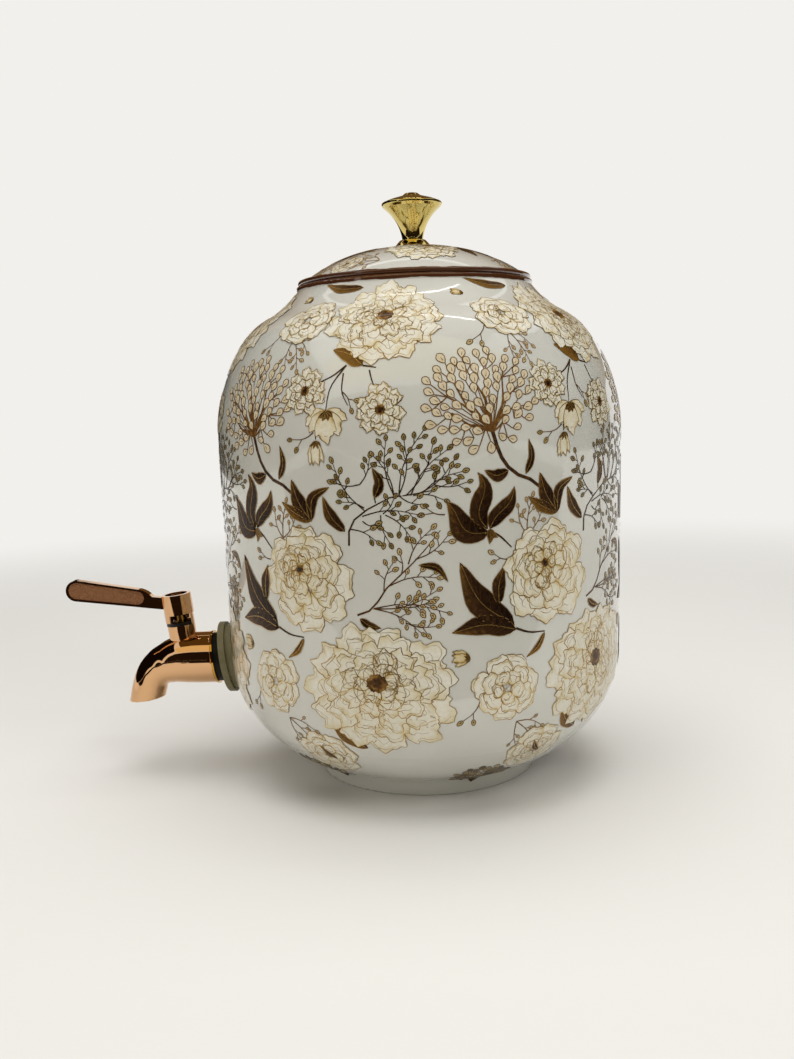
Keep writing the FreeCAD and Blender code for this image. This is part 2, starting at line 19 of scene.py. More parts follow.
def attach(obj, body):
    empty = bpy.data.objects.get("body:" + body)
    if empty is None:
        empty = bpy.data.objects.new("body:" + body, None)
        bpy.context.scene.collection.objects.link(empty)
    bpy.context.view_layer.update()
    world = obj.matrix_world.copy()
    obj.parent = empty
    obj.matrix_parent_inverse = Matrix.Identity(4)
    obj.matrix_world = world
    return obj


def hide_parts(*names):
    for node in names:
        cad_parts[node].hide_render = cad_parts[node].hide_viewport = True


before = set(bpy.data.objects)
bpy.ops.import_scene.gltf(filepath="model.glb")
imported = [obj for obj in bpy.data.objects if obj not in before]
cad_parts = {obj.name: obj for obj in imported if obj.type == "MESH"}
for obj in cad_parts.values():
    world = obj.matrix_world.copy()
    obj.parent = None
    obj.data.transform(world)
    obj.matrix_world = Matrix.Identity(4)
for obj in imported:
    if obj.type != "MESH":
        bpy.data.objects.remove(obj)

LOG = logging.getLogger("water_pot")
Point = tuple[float, float]

# Keeps a division by a length from failing where there is no length.
TINY = 1e-9
# Nearly all of a cloudy pattern lies between these two values.
CLOUD_RANGE = (0.3, 0.7)
# Length and depth of the slow waves in the fired gloss, over the ground and over the inks.
GLOSS_WAVE = 14.0
GLOSS_WAVE_DEPTH = 0.12


# ---- Small helpers ---------------------------------------------------------------------------
def mm(value: float | np.ndarray) -> float | np.ndarray:
    """Millimetres as metres."""
    return value / 1000.0


def linear(hex_colour: str) -> tuple[float, float, float, float]:
    """Turns an sRGB hex colour to linear light, by the numbers of that standard.

    Args:
        hex_colour: Six hex digits.
    Returns:
        Red, green, blue and an alpha of 1.
    """
    def channel(start: int) -> float:
        """The channel whose two digits start here."""
        value = int(hex_colour[start:start + 2], 16) / 255
        return value / 12.92 if value <= 0.04045 else ((value + 0.055) / 1.055) ** 2.4

    return channel(0), channel(2), channel(4), 1.0


def add_node(tree: bpy.types.NodeTree, kind: str, inputs: dict | None = None,
             **settings: object) -> bpy.types.Node:
    """Adds a shader node with its settings, values and links.

    Args:
        tree: The material's or the world's node tree.
        kind: The node's type name, without its ShaderNode prefix.
        inputs: For each input's name or number, a value, a hex colour or the socket that feeds it.
        **settings: The node's own properties.
    Returns:
        The new node.
    """
    node = tree.nodes.new("ShaderNode" + kind)
    for name, value in settings.items():
        setattr(node, name, value)
    for name, value in (inputs or {}).items():
        if isinstance(value, bpy.types.NodeSocket):
            tree.links.new(value, node.inputs[name])
        else:
            node.inputs[name].default_value = linear(value) if isinstance(value, str) else value
    return node


def deselect() -> None:
    """Leaves nothing selected, so that an operator acts on new geometry alone."""
    if bpy.context.object and bpy.context.object.mode != "OBJECT":
        bpy.ops.object.mode_set(mode="OBJECT")
    bpy.ops.object.select_all(action="DESELECT")


# ---- Finishes --------------------------------------------------------------------------------
@dataclass(frozen=True)
class Finish:
    """One surface finish: its plain shader values, with patterns added by its kind."""
    name: str
    colour: str
    roughness: float
    metallic: float = 0.0
    coat: float = 0.0
    coat_roughness: float = 0.03
    specular: float = 0.5

    def material(self) -> bpy.types.Material:
        """Makes the material, or returns it where it has been made already."""
        name = f"{self.name}_finish"
        if name in bpy.data.materials:
            return bpy.data.materials[name]
        made = bpy.data.materials.new(name)
        made.use_nodes = True
        tree = made.node_tree
        shader = tree.nodes["Principled BSDF"]
        shader.inputs["Base Color"].default_value = linear(self.colour)
        shader.inputs["Roughness"].default_value = self.roughness
        shader.inputs["Metallic"].default_value = self.metallic
        shader.inputs["Specular IOR Level"].default_value = self.specular
        shader.inputs["Coat Weight"].default_value = self.coat
        shader.inputs["Coat Roughness"].default_value = self.coat_roughness
        made.diffuse_color = linear(self.colour)
        self.pattern(tree, shader)
        return made

    def pattern(self, tree: bpy.types.NodeTree, shader: bpy.types.Node) -> None:
        """Adds the finish's own colour, gloss and relief patterns to its shader.

        Args:
            tree: The material's node tree.
            shader: The shader node.
        """

    def relief(self, tree: bpy.types.NodeTree, shader: bpy.types.Node,
               height: bpy.types.NodeSocket, depth: float) -> None:
        """Feeds a height pattern to the shader's normal.

        Args:
            tree: The material's node tree.
            shader: The shader node.
            height: The pattern's output, from 0 to 1.
            depth: Its height in millimetres.
        """
        bump = add_node(tree, "Bump", {"Height": height, "Distance": mm(depth)})
        tree.links.new(bump.outputs["Normal"], shader.inputs["Normal"])


def noise(tree: bpy.types.NodeTree, grain: float,
          stretch: tuple[float, float, float] = (1.0, 1.0, 1.0),
          detail: float = 2.0) -> bpy.types.NodeSocket:
    """Cloudy pattern from 0 to 1 in the object's own coordinates.

    Args:
        tree: The material's node tree.
        grain: Size of one cloud in millimetres.
        stretch: How much longer a cloud is along X, Y and Z.
        detail: Number of finer layers.
    Returns:
        The pattern's output.
    """
    place = add_node(tree, "TexCoord").outputs["Object"]
    scaled = add_node(tree, "Mapping", {"Vector": place,
                                        "Scale": [1 / (mm(grain) * part) for part in stretch]})
    cloud = add_node(tree, "TexNoise", {"Vector": scaled.outputs[0], "Scale": 1.0,
                                        "Detail": detail})
    return cloud.outputs[0]


def clouds(tree: bpy.types.NodeTree, grain: float, low: float, high: float,
           detail: float = 2.0) -> bpy.types.NodeSocket:
    """Cloudy pattern whose middle range runs from one value to another, and which stops there.

    Args:
        tree: The material's node tree.
        grain: Size of one cloud in millimetres.
        low: Value of its dark parts.
        high: Value of its light parts.
        detail: Number of finer layers.
    Returns:
        The pattern's output.
    """
    mapped = add_node(tree, "MapRange", {
        "Value": noise(tree, grain, detail=detail), "From Min": CLOUD_RANGE[0],
        "From Max": CLOUD_RANGE[1], "To Min": low, "To Max": high})
    return mapped.outputs[0]


@dataclass(frozen=True)
class Glaze(Finish):
    """Fired glossy glaze on stoneware: pale grey-white, slightly uneven, with a painted lip.

    The eye sees a hard, wet gloss whose reflections waver a little over a cloudy pale body.
    """
    shade: str = "C3C2B8"
    cloud: float = 38.0
    # The painted lip: its colour, and the last bare and the first covered place at each edge.
    paint: str = "4E2C18"
    lip_foot: Point = (239.9, 240.2)
    lip_top: Point = (244.9, 244.7)
    lip_inside: Point = (54.0, 54.3)
    brush_grain: float = 9.0
    brush_waver: float = 0.25

    def pattern(self, tree: bpy.types.NodeTree, shader: bpy.types.Node) -> None:
        """Clouds the ground, paints the lip and lets the surface waver.

        Args:
            tree: The material's node tree.
            shader: The shader node.
        """
        colour = add_node(tree, "MixRGB", {0: noise(tree, self.cloud), 1: self.colour,
                                           2: self.shade}).outputs[0]
        place = add_node(tree, "SeparateXYZ", {0: add_node(tree, "TexCoord").outputs["Object"]})
        across = add_node(tree, "CombineXYZ", {axis: place.outputs[axis] for axis in "XY"})
        radius = add_node(tree, "VectorMath", {0: across.outputs[0]}, operation="LENGTH")
        waver = clouds(tree, self.brush_grain, mm(-self.brush_waver), mm(self.brush_waver))
        height = add_node(tree, "Math", {0: place.outputs["Z"], 1: waver}, operation="ADD")
        share = 1.0
        for source, (bare, covered) in ((height.outputs[0], self.lip_foot),
                                        (height.outputs[0], self.lip_top),
                                        (radius.outputs["Value"], self.lip_inside)):
            edge = add_node(tree, "MapRange", {"Value": source, "From Min": mm(bare),
                                               "From Max": mm(covered)}).outputs[0]
            share = add_node(tree, "Math", {0: share, 1: edge}, operation="MULTIPLY").outputs[0]
        painted = add_node(tree, "MixRGB", {0: share, 1: colour, 2: self.paint})
        tree.links.new(painted.outputs[0], shader.inputs["Base Color"])
        self.relief(tree, shader, noise(tree, GLOSS_WAVE), GLOSS_WAVE_DEPTH)


@dataclass(frozen=True)
class TurnedMetal(Finish):
    """Metal turned on a lathe and polished: fine rings that draw reflections out in streaks.

    The tool's real marks are finer. They are drawn as coarse as they need to be to show.
    """
    ring_pitch: float = 0.5
    ring_length: float = 30.0
    ring_depth: float = 0.004
    polish_grain: float = 4.0
    polish_range: tuple[float, float] = (0.7, 1.4)

    def pattern(self, tree: bpy.types.NodeTree, shader: bpy.types.Node) -> None:
        """Adds turning rings, stretched round the vertical axis.

        Args:
            tree: The material's node tree.
            shader: The shader node.
        """
        rings = noise(tree, self.ring_pitch, (self.ring_length, self.ring_length, 1.0), 1.0)
        self.relief(tree, shader, rings, self.ring_depth)
        glossy, dull = [self.roughness * part for part in self.polish_range]
        tree.links.new(clouds(tree, self.polish_grain, glossy, dull), shader.inputs["Roughness"])


@dataclass(frozen=True)
class PlatedMetal(Finish):
    """Bright plate over a polished casting: mirror gloss with a faint waver and smears."""
    waver: float = 7.0
    waver_depth: float = 0.03
    smear: float = 0.06
    smear_grain: float = 5.0
    smear_detail: float = 5.0

    def pattern(self, tree: bpy.types.NodeTree, shader: bpy.types.Node) -> None:
        """Adds the casting's slow waver, and handling smears in the gloss.

        Args:
            tree: The material's node tree.
            shader: The shader node.
        """
        self.relief(tree, shader, noise(tree, self.waver), self.waver_depth)
        gloss = clouds(tree, self.smear_grain, self.roughness, self.roughness + self.smear,
                       self.smear_detail)
        tree.links.new(gloss, shader.inputs["Roughness"])


@dataclass(frozen=True)
class MouldedRubber(Finish):
    """Moulded rubber, silicone or plastic: a soft sheen over a fine even grain.

    The grain is drawn as coarse as it needs to be to show.
    """
    grain: float = 0.4
    grain_depth: float = 0.02
    dust: str = "3A3A38"
    dust_grain: float = 3.0
    dust_share: float = 0.5
    dust_detail: float = 4.0

    def pattern(self, tree: bpy.types.NodeTree, shader: bpy.types.Node) -> None:
        """Adds the mould's grain and a cloudy film of dust.

        Args:
            tree: The material's node tree.
            shader: The shader node.
        """
        share = clouds(tree, self.dust_grain, 0.0, self.dust_share, self.dust_detail)
        dusty = add_node(tree, "MixRGB", {0: share, 1: self.colour, 2: self.dust})
        tree.links.new(dusty.outputs[0], shader.inputs["Base Color"])
        self.relief(tree, shader, noise(tree, self.grain), self.grain_depth)


@dataclass(frozen=True)
class SpeckledPaint(Finish):
    """Rough powder-like paint in a sunk panel: warm and dark specks over brownish pink.

    The real specks are finer. They are drawn as coarse as they need to be to show.
    """
    speck: str = "5C3C22"
    speck_range: tuple[float, float] = (0.42, 0.62)
    grain: float = 0.32
    grain_depth: float = 0.08

    def pattern(self, tree: bpy.types.NodeTree, shader: bpy.types.Node) -> None:
        """Scatters the specks and roughens the surface with them.

        Args:
            tree: The material's node tree.
            shader: The shader node.
        """
        specks = noise(tree, self.grain, detail=1.0)
        share = add_node(tree, "MapRange", {"Value": specks, "From Min": self.speck_range[0],
                                            "From Max": self.speck_range[1]}).outputs[0]
        speckled = add_node(tree, "MixRGB", {0: share, 1: self.colour, 2: self.speck})
        tree.links.new(speckled.outputs[0], shader.inputs["Base Color"])
        self.relief(tree, shader, specks, self.grain_depth)


# The lever's sunk panels: the one dull and grainy place in the tap's mirror gloss.
SPECKLED = SpeckledPaint("speckled_panel_paint", "9A6A48", 0.6, specular=0.15)
# The pot and the lid: a hard wet gloss that mirrors the lamps sharply over a pale, uneven body.
GLAZE = Glaze("fired_glaze", "D3D1C7", 0.09, coat=1.0, coat_roughness=0.02)
# The knob and its collar: pale yellow, with a mirror's gloss and hardly a ring to see.
BRASS_KNOB = TurnedMetal("polished_brass", "E0CB7E", 0.07, metallic=1.0, ring_depth=0.0008)
# The stem and the gland nut: deeper yellow and satin, as the lathe leaves them.
BRASS = TurnedMetal("machined_brass", "B98F45", 0.22, metallic=1.0)
# The tap and its lever: a clear copper-pink mirror that shows the dark room in bands.
ROSE_GOLD = PlatedMetal("rose_gold_plate", "DFB184", 0.03, metallic=1.0, waver_depth=0.015,
                        smear=0.015)
# The flange: a thin bright yellow line between the tap and the black ring.
GOLD = PlatedMetal("gold_plate", "C99A45", 0.06, metallic=1.0)
# The screws, the washers and the lock nut: cool grey with a dull gloss.
STEEL = TurnedMetal("zinc_plated_steel", "A9ABAD", 0.3, metallic=1.0)
# The ball: a white mirror.
BALL_STEEL = PlatedMetal("chromed_ball", "C4C6C8", 0.05, metallic=1.0)
# The seals on the wall: a soft olive grey that darkens without a highlight.
SILICONE = MouldedRubber("grey_silicone", "6E6749", 0.5, specular=0.25, dust="7E775A")
# The ring behind the flange and the O-rings: nearly black with a faint sheen.
RUBBER = MouldedRubber("black_rubber", "0E0D0B", 0.5, specular=0.2, dust="151412")
# The stop washer: as black as the rubber, and glossier.
BLACK_PLASTIC = MouldedRubber("black_acetal", "0F0E0D", 0.3, specular=0.3, dust="191715")
# The ball's seats: waxy white.
SEAT_PLASTIC = MouldedRubber("white_seat_plastic", "E2E0DA", 0.35, dust="D2CEC4")
# The studio's floor: matt paper, which takes soft shade and mirrors no lamp.
STUDIO_PAPER = Finish("studio_paper", "E6E4DF", 0.6, specular=0.2)

NODE_FINISHES = {
    "pot_body": GLAZE, "lid": GLAZE, "knob_collar": BRASS_KNOB, "lid_knob": BRASS_KNOB,
    "knob_screw": STEEL, "knob_washer": STEEL, "knob_seal": RUBBER, "tap_body": ROSE_GOLD,
    "tap_tail": GOLD, "flange_ring": RUBBER, "outer_seal": SILICONE, "inner_seal": SILICONE,
    "inner_washer": STEEL, "lock_nut": STEEL, "ball_seat_rear": SEAT_PLASTIC,
    "ball_seat_front": SEAT_PLASTIC, "gland_nut": BRASS, "stop_washer": BLACK_PLASTIC,
    "valve_ball": BALL_STEEL, "valve_stem": BRASS, "stem_o_rings": RUBBER,
    "lever_handle": ROSE_GOLD, "handle_screw": STEEL,
}


def dress_nodes() -> None:
    """Gives every node of the frame its finish."""
    for name, finish in NODE_FINISHES.items():
        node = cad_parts[name]
        material = finish.material()
        for slot in node.material_slots:
            slot.material = material
        LOG.info("dressed %s in %s", name, finish.name)


# ---- The tap's outer shapes ------------------------------------------------------------------
@dataclass(frozen=True)
class Clamped:
    """A part clamped to the pot's sloping side, which leans with it, its top outwards.

    It starts to lean at the distance near from the pot's axis, and leans fully from far on.
    Size is its width as a share of the plain part's.
    """
    node: str
    near: float
    far: float
    degrees: float
    size: float = 1.0


@dataclass(frozen=True)
class Tap:
    """Shapes that the tap's plain solids only outline: its bent spout and its leaning seals."""
    # The height of the tap's axis, where the stem crosses it and how far the stem leans outwards.
    height: float = 56.8
    stem_distance: float = 124.0
    stem_lean: float = 6.5
    # Up the stem: where the casting's neck is cut off, and where its new foot starts in the barrel.
    neck_cut: float = 17.2
    neck_foot: float = 5.0
    neck_radii: tuple[float, float] = (6.81, 7.09)
    # Where the flange's face crosses the axis, and the parts that lean with it.
    flange_face: float = 108.8
    flange_lean: float = 6.0
    clamped: tuple[Clamped, ...] = (
        Clamped("tap_tail", 104.0, 107.9, flange_lean), Clamped("flange_ring", 90.0, 91.0, 7.0),
        Clamped("outer_seal", 94.0, 100.3, 8.0, 0.965))
    # The middle of the spout's mouth as distance and height, its lean and the spout's wall.
    mouth: Point = (145.5, 36.1)
    mouth_lean: float = 6.0
    wall: float = 2.1
    # Along the tube's middle: distance from the pot's axis, height and outer radius.
    tube: tuple[tuple[float, float, float], ...] = (
        (104, 56.8, 13.3), (116, 56.8, 13.3), (121, 56.7, 13.1), (127, 56, 12.4),
        (133, 54.4, 11), (138, 52, 9.8), (142, 47.9, 9), (144.2, 42, 8.9), (146.2, 33, 9))
    # Round ends of the lever's sunk panel: distance from the stem, height along it and radius.
    panel_ends: tuple[tuple[float, float, float], ...] = ((50.2, 42.8, 4.25), (19.6, 34.7, 3.45))
    panel_half: float = 1.84
    # Points nearer than the seam are joined, and edges flatter than the angle look smooth.
    seam: float = 0.002
    smooth_below: float = 30.0
    tube_roundness: int = 22
    tube_spans: int = 10
    neck_sides: int = 96
    panel_sides: int = 64

    def build(self) -> None:
        """Makes the spout, the neck, the clamped parts and the lever's matt panels."""
        self.spout()
        self.neck()
        for part in self.clamped:
            self.lean(part)
        self.panels()

    @property
    def stem(self) -> Matrix:
        """Turns a shape that is made about the Z axis, with +X to the lever, onto the stem."""
        return (Matrix.Translation((0, mm(-self.stem_distance), mm(self.height)))
                @ Matrix.Rotation(math.radians(self.stem_lean), 4, "X")
                @ Matrix.Rotation(math.radians(-90), 4, "Z"))

    def finish(self, piece: bpy.types.Object, name: str, finish: Finish) -> None:
        """Names a piece, points its faces outwards, smooths it and gives it its finish.

        Args:
            piece: The piece, which is the active object.
            name: Its name.
            finish: Its finish.
        """
        piece.name = piece.data.name = name
        if bpy.context.object.mode != "EDIT":
            bpy.ops.object.mode_set(mode="EDIT")
        bpy.ops.mesh.select_all(action="SELECT")
        bpy.ops.mesh.normals_make_consistent(inside=False)
        bpy.ops.object.mode_set(mode="OBJECT")
        bpy.ops.object.shade_smooth_by_angle(angle=math.radians(self.smooth_below))
        piece.data.materials.clear()
        piece.data.materials.append(finish.material())
        LOG.info("made %s: %d faces", name, len(piece.data.polygons))

    def cut(self, point: ArrayLike, normal: ArrayLike, drop_ahead: bool) -> None:
        """Cuts the mesh that is being edited with a plane, and drops one side of it.

        Args:
            point: A point of the plane in metres.
            normal: The way that the plane faces.
            drop_ahead: Whether the side that it faces is dropped, and not the one behind it.
        """
        bpy.ops.mesh.select_all(action="SELECT")
        bpy.ops.mesh.bisect(plane_co=point, plane_no=normal, clear_outer=drop_ahead,
                            clear_inner=not drop_ahead)

    def spout(self) -> None:
        """Bends the barrel and the spout as one tube, cut off leaning at both its ends."""
        deselect()
        bpy.ops.curve.primitive_bezier_curve_add()
        tube = bpy.context.object
        tube.data.dimensions = "3D"
        tube.data.fill_mode = "FULL"
        tube.data.bevel_depth = mm(1)
        tube.data.bevel_resolution = self.tube_roundness
        spline = tube.data.splines[0]
        spline.resolution_u = self.tube_spans
        spline.radius_interpolation = "CARDINAL"
        spline.bezier_points.add(len(self.tube) - 2)
        for point, (across, height, radius) in zip(spline.bezier_points, self.tube):
            point.co = (0, mm(-across), mm(height))
            point.radius = radius
            point.handle_left_type = point.handle_right_type = "AUTO"
        bpy.ops.object.convert(target="MESH")
        bpy.ops.object.mode_set(mode="EDIT")
        flange_slope = math.tan(math.radians(self.flange_lean))
        self.cut((0, mm(-self.flange_face), mm(self.height)), (0, 1, flange_slope), True)
        mouth_slope = math.tan(math.radians(self.mouth_lean))
        self.cut((0, mm(-self.mouth[0]), mm(self.mouth[1])), (0, -mouth_slope, 1), False)
        self.finish(tube, "tap_spout", ROSE_GOLD)
        wall = tube.modifiers.new("wall", "SOLIDIFY")
        wall.thickness = mm(self.wall)
        wall.offset = -1.0
        bpy.ops.object.modifier_apply(modifier=wall.name)
        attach(tube, "pot")
        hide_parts("tap_body")

    def copied(self, node: str) -> bpy.types.Object:
        """Copies a node's mesh with its loose triangles joined, and leaves it being edited.

        Args:
            node: The node's name.
        Returns:
            The copy.
        """
        deselect()
        piece = bpy.data.objects.new(node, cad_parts[node].data.copy())
        bpy.context.scene.collection.objects.link(piece)
        bpy.context.view_layer.objects.active = piece
        piece.select_set(True)
        bpy.ops.mesh.customdata_custom_splitnormals_clear()
        bpy.ops.object.mode_set(mode="EDIT")
        bpy.ops.mesh.select_all(action="SELECT")
        bpy.ops.mesh.remove_doubles(threshold=mm(self.seam))
        return piece

    def neck(self) -> None:
        """Keeps the casting's neck and its stop lug, and lengthens its foot into the barrel."""
        neck = self.copied("tap_body")
        axis = self.stem.to_3x3() @ Vector((0, 0, 1))
        self.cut(self.stem @ Vector((0, 0, mm(self.neck_cut))), axis, False)
        self.finish(neck, "tap_neck", ROSE_GOLD)
        deselect()
        length = self.neck_cut - self.neck_foot
        bpy.ops.mesh.primitive_cone_add(vertices=self.neck_sides, radius1=mm(self.neck_radii[0]),
                                        radius2=mm(self.neck_radii[1]), depth=mm(length),
                                        end_fill_type="NOTHING")
        foot = bpy.context.object
        middle = Matrix.Translation((0, 0, mm(self.neck_foot + length / 2)))
        foot.data.transform(self.stem @ middle)
        self.finish(foot, "tap_neck_foot", ROSE_GOLD)
        for piece in (neck, foot):
            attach(piece, "pot")

    def lean(self, part: Clamped) -> None:
        """Copies a clamped part and leans its outer side with the pot's.

        Args:
            part: The part.
        """
        piece = self.copied(part.node)
        bpy.ops.object.mode_set(mode="OBJECT")
        slope = math.tan(math.radians(part.degrees))
        for vertex in piece.data.vertices:
            place = vertex.co
            above = (place.z - mm(self.height)) * part.size
            share = min(max((-place.y - mm(part.near)) / mm(part.far - part.near), 0.0), 1.0)
            vertex.co = (place.x * part.size, place.y - share * slope * above,
                         mm(self.height) + above)
        finish = NODE_FINISHES[part.node]
        self.finish(piece, f"{part.node}_leaning", finish)
        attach(piece, "pot")
        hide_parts(part.node)

    def panels(self) -> None:
        """Fills the floors of the lever's two sunk panels with their matt speckled finish."""
        (tip, tip_up, tip_radius), (root, root_up, root_radius) = self.panel_ends
        slope = math.atan2(tip_up - root_up, tip - root)
        deselect()
        bpy.ops.mesh.primitive_cylinder_add(vertices=self.panel_sides, radius=1.0, depth=2.0)
        panel = bpy.context.object
        for vertex in panel.data.vertices:
            turn = math.atan2(vertex.co.y, vertex.co.x)
            across, up, radius = ((tip, tip_up, tip_radius) if math.cos(turn) > 0
                                  else (root, root_up, root_radius))
            vertex.co = (mm(across + radius * math.cos(turn + slope)),
                         mm(self.panel_half) * vertex.co.z,
                         mm(up + radius * math.sin(turn + slope)))
        panel.data.transform(self.stem)
        self.finish(panel, "lever_panels", SPECKLED)
        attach(panel, "lever")


# ---- Turned surfaces -------------------------------------------------------------------------
class Outline:
    """Outline of a turned surface, walked in straight lines and arcs that meet smoothly."""
    step: float = 0.5

    def __init__(self, radius: float, height: float) -> None:
        """Starts the outline at a radius and a height."""
        self.points = [(radius, height)]
        self.headings = [math.pi / 2]

    def line(self, radius: float, height: float) -> "Outline":
        """Goes straight to a point.

        Args:
            radius: The end's radius.
            height: The end's height.
        Returns:
            The outline.
        """
        start = self.points[-1]
        heading = math.atan2(height - start[1], radius - start[0])
        count = max(1, round(math.dist(start, (radius, height)) / self.step))
        for part in np.linspace(0, 1, count + 1)[1:]:
            self.points.append((start[0] + (radius - start[0]) * part,
                                start[1] + (height - start[1]) * part))
            self.headings.append(heading)
        return self

    def arc(self, radius: float, height: float, heading: float | None = None) -> "Outline":
        """Goes to a point on an arc.

        Args:
            radius: The end's radius.
            height: The end's height.
            heading: Direction at the start in degrees, or None to leave smoothly.
        Returns:
            The outline.
        """
        start = self.points[-1]
        leaving = self.headings[-1] if heading is None else math.radians(heading)
        chord = math.dist(start, (radius, height))
        direction = math.atan2(height - start[1], radius - start[0])
        swing = math.remainder(direction - leaving, math.tau)
        count = max(2, round(chord / self.step))
        for part in np.linspace(0, 1, count + 1)[1:]:
            reach = chord * math.sin(swing * part) / math.sin(swing)
            toward = leaving + swing * part
            self.points.append((start[0] + reach * math.cos(toward),
                                start[1] + reach * math.sin(toward)))
            self.headings.append(leaving + 2 * swing * part)
        return self


class Skin:
    """A turned surface unrolled to a flat sheet: x runs round it, y runs up along it."""

    def __init__(self, outline: Outline, sheet_radius: float) -> None:
        """Measures the outline.

        Args:
            outline: The surface's outline, from its foot up.
            sheet_radius: Radius at which x is true to size.
        """
        self.points = np.array(outline.points)
        self.headings = np.array(outline.headings)
        steps = np.hypot(*np.diff(self.points, axis=0).T)
        self.along = np.concatenate([[0.0], np.cumsum(steps)])
        self.sheet_radius = sheet_radius

    def stretch(self, y: float) -> float:
        """How much wider a shape is drawn at a height, to come out true."""
        return self.sheet_radius / float(np.interp(y, self.along, self.points[:, 0]))

    def wrap(self, flat: np.ndarray, lifts: np.ndarray) -> tuple[np.ndarray, np.ndarray]:
        """Bends flat points round the surface.

        Args:
            flat: Points on the sheet.
            lifts: How far each stands off the surface.
        Returns:
            The points in metres and the surface's normals there.
        """
        return self.place(flat[:, 0] / self.sheet_radius, flat[:, 1], lifts)

    def place(self, turn: np.ndarray, along: np.ndarray,
              lifts: np.ndarray) -> tuple[np.ndarray, np.ndarray]:
        """Puts points at angles and distances along the outline.

        Args:
            turn: Each point's angle round the axis, in radians.
            along: Its distance along the outline.
            lifts: How far it stands off the surface.
        Returns:
            The points in metres and the surface's normals there.
        """
        radius = np.interp(along, self.along, self.points[:, 0])
        height = np.interp(along, self.along, self.points[:, 1])
        heading = np.interp(along, self.along, self.headings)
        out, up = np.sin(heading), -np.cos(heading)
        radius = radius + lifts * out
        points = np.column_stack([radius * np.cos(turn), radius * np.sin(turn),
                                  height + lifts * up])
        normals = np.column_stack([out * np.cos(turn), out * np.sin(turn), up])
        return mm(points), normals


class Crown(Skin):
    """A domed surface seen from above: the sheet's middle is the dome's top."""

    def stretch(self, y: float) -> float:
        """Nothing is widened, because the sheet is true near the top."""
        return 1.0

    def wrap(self, flat: np.ndarray, lifts: np.ndarray) -> tuple[np.ndarray, np.ndarray]:
        """Bends flat points over the dome, keeping their distance from its top.

        Args:
            flat: Points on the sheet.
            lifts: How far each stands off the surface.
        Returns:
            The points in metres and the surface's normals there.
        """
        turn = np.arctan2(flat[:, 1], flat[:, 0])
        top = self.along[-1] + self.points[-1, 0]
        return self.place(turn, top - np.hypot(flat[:, 0], flat[:, 1]), lifts)


# ---- The print -------------------------------------------------------------------------------
class Ink(Enum):
    """The inks of the print, each of which becomes a piece of its own."""
    PETAL = "petal"
    LEAF = "leaf"
    BERRY = "berry"
    GOLD = "gold"
    BROWN = "brown"


@dataclass(frozen=True)
class Place:
    """Where a motif goes on the flat sheet."""
    x: float = 0.0
    y: float = 0.0
    turn: float = 0.0
    size: float = 1.0
    stretch: float = 1.0

    def put(self, points: ArrayLike) -> np.ndarray:
        """Turns, sizes and moves a motif's own points to their place.

        Args:
            points: The points.
        Returns:
            The points at their place.
        """
        angle = math.radians(self.turn)
        turning = np.array([[math.cos(angle), math.sin(angle)],
                            [-math.sin(angle), math.cos(angle)]])
        sized = np.asarray(points, float) @ turning * self.size
        return sized * (self.stretch, 1.0) + (self.x, self.y)


class Stamp:
    """A flat patch modelled once and bent to many outlines."""

    def __init__(self) -> None:
        """Reads the patch that is being edited, and clears it away."""
        bpy.ops.mesh.select_all(action="SELECT")
        bpy.ops.mesh.quads_convert_to_tris()
        bpy.ops.object.mode_set(mode="OBJECT")
        patch = bpy.context.object
        self.points = np.array([vertex.co[:2] for vertex in patch.data.vertices])
        self.faces = np.array([face.vertices[:] for face in patch.data.polygons])
        bpy.ops.object.delete()


class RoundStamp(Stamp):
    """A disc of rings about a middle point, for petals and berries."""
    # Share of the disc's radius that its rings take up.
    ringed: float = 0.9

    def __init__(self, sides: int, rings: int) -> None:
        """Models the disc.

        Args:
            sides: Points round its edge.
            rings: Rings inside its edge.
        """
        deselect()
        bpy.ops.mesh.primitive_circle_add(vertices=sides, radius=1.0, fill_type="NGON")
        bpy.ops.object.mode_set(mode="EDIT")
        bpy.ops.mesh.select_all(action="SELECT")
        inset = self.ringed / (rings + 1)
        for _ in range(rings):
            bpy.ops.mesh.inset(thickness=inset)
        bpy.ops.mesh.poke()
        super().__init__()
        self.sides = sides
        self.rings = rings
        reach = np.hypot(*self.points.T)
        self.ring = np.minimum(np.round((1 - reach) * math.cos(math.pi / sides) / inset),
                               rings + 1).astype(int)
        self.ring[np.argmin(reach)] = rings + 1
        turn = np.arctan2(self.points[:, 1], self.points[:, 0])
        self.side = np.round(turn / math.tau * sides).astype(int) % sides
        rim = self.ring[self.faces].max(axis=1) <= 1
        self.band, self.middle = self.faces[rim], self.faces[~rim]

    def bend(self, outline: np.ndarray, line: float) -> np.ndarray:
        """Fits the disc to a closed outline.

        Args:
            outline: As many points as the disc has sides, turning left.
            line: Width of the band along its edge.
        Returns:
            A point for each of the disc's own.
        """
        ahead = np.roll(outline, -1, axis=0) - np.roll(outline, 1, axis=0)
        inward = np.column_stack([-ahead[:, 1], ahead[:, 0]])
        inward /= np.maximum(np.hypot(*inward.T), TINY)[:, None]
        inner = outline + inward * line
        heart = inner.mean(axis=0)
        shares = np.linspace(1, 0, self.rings + 1)
        rings = [outline] + [heart + (inner - heart) * share for share in shares]
        return np.array(rings)[self.ring, self.side]


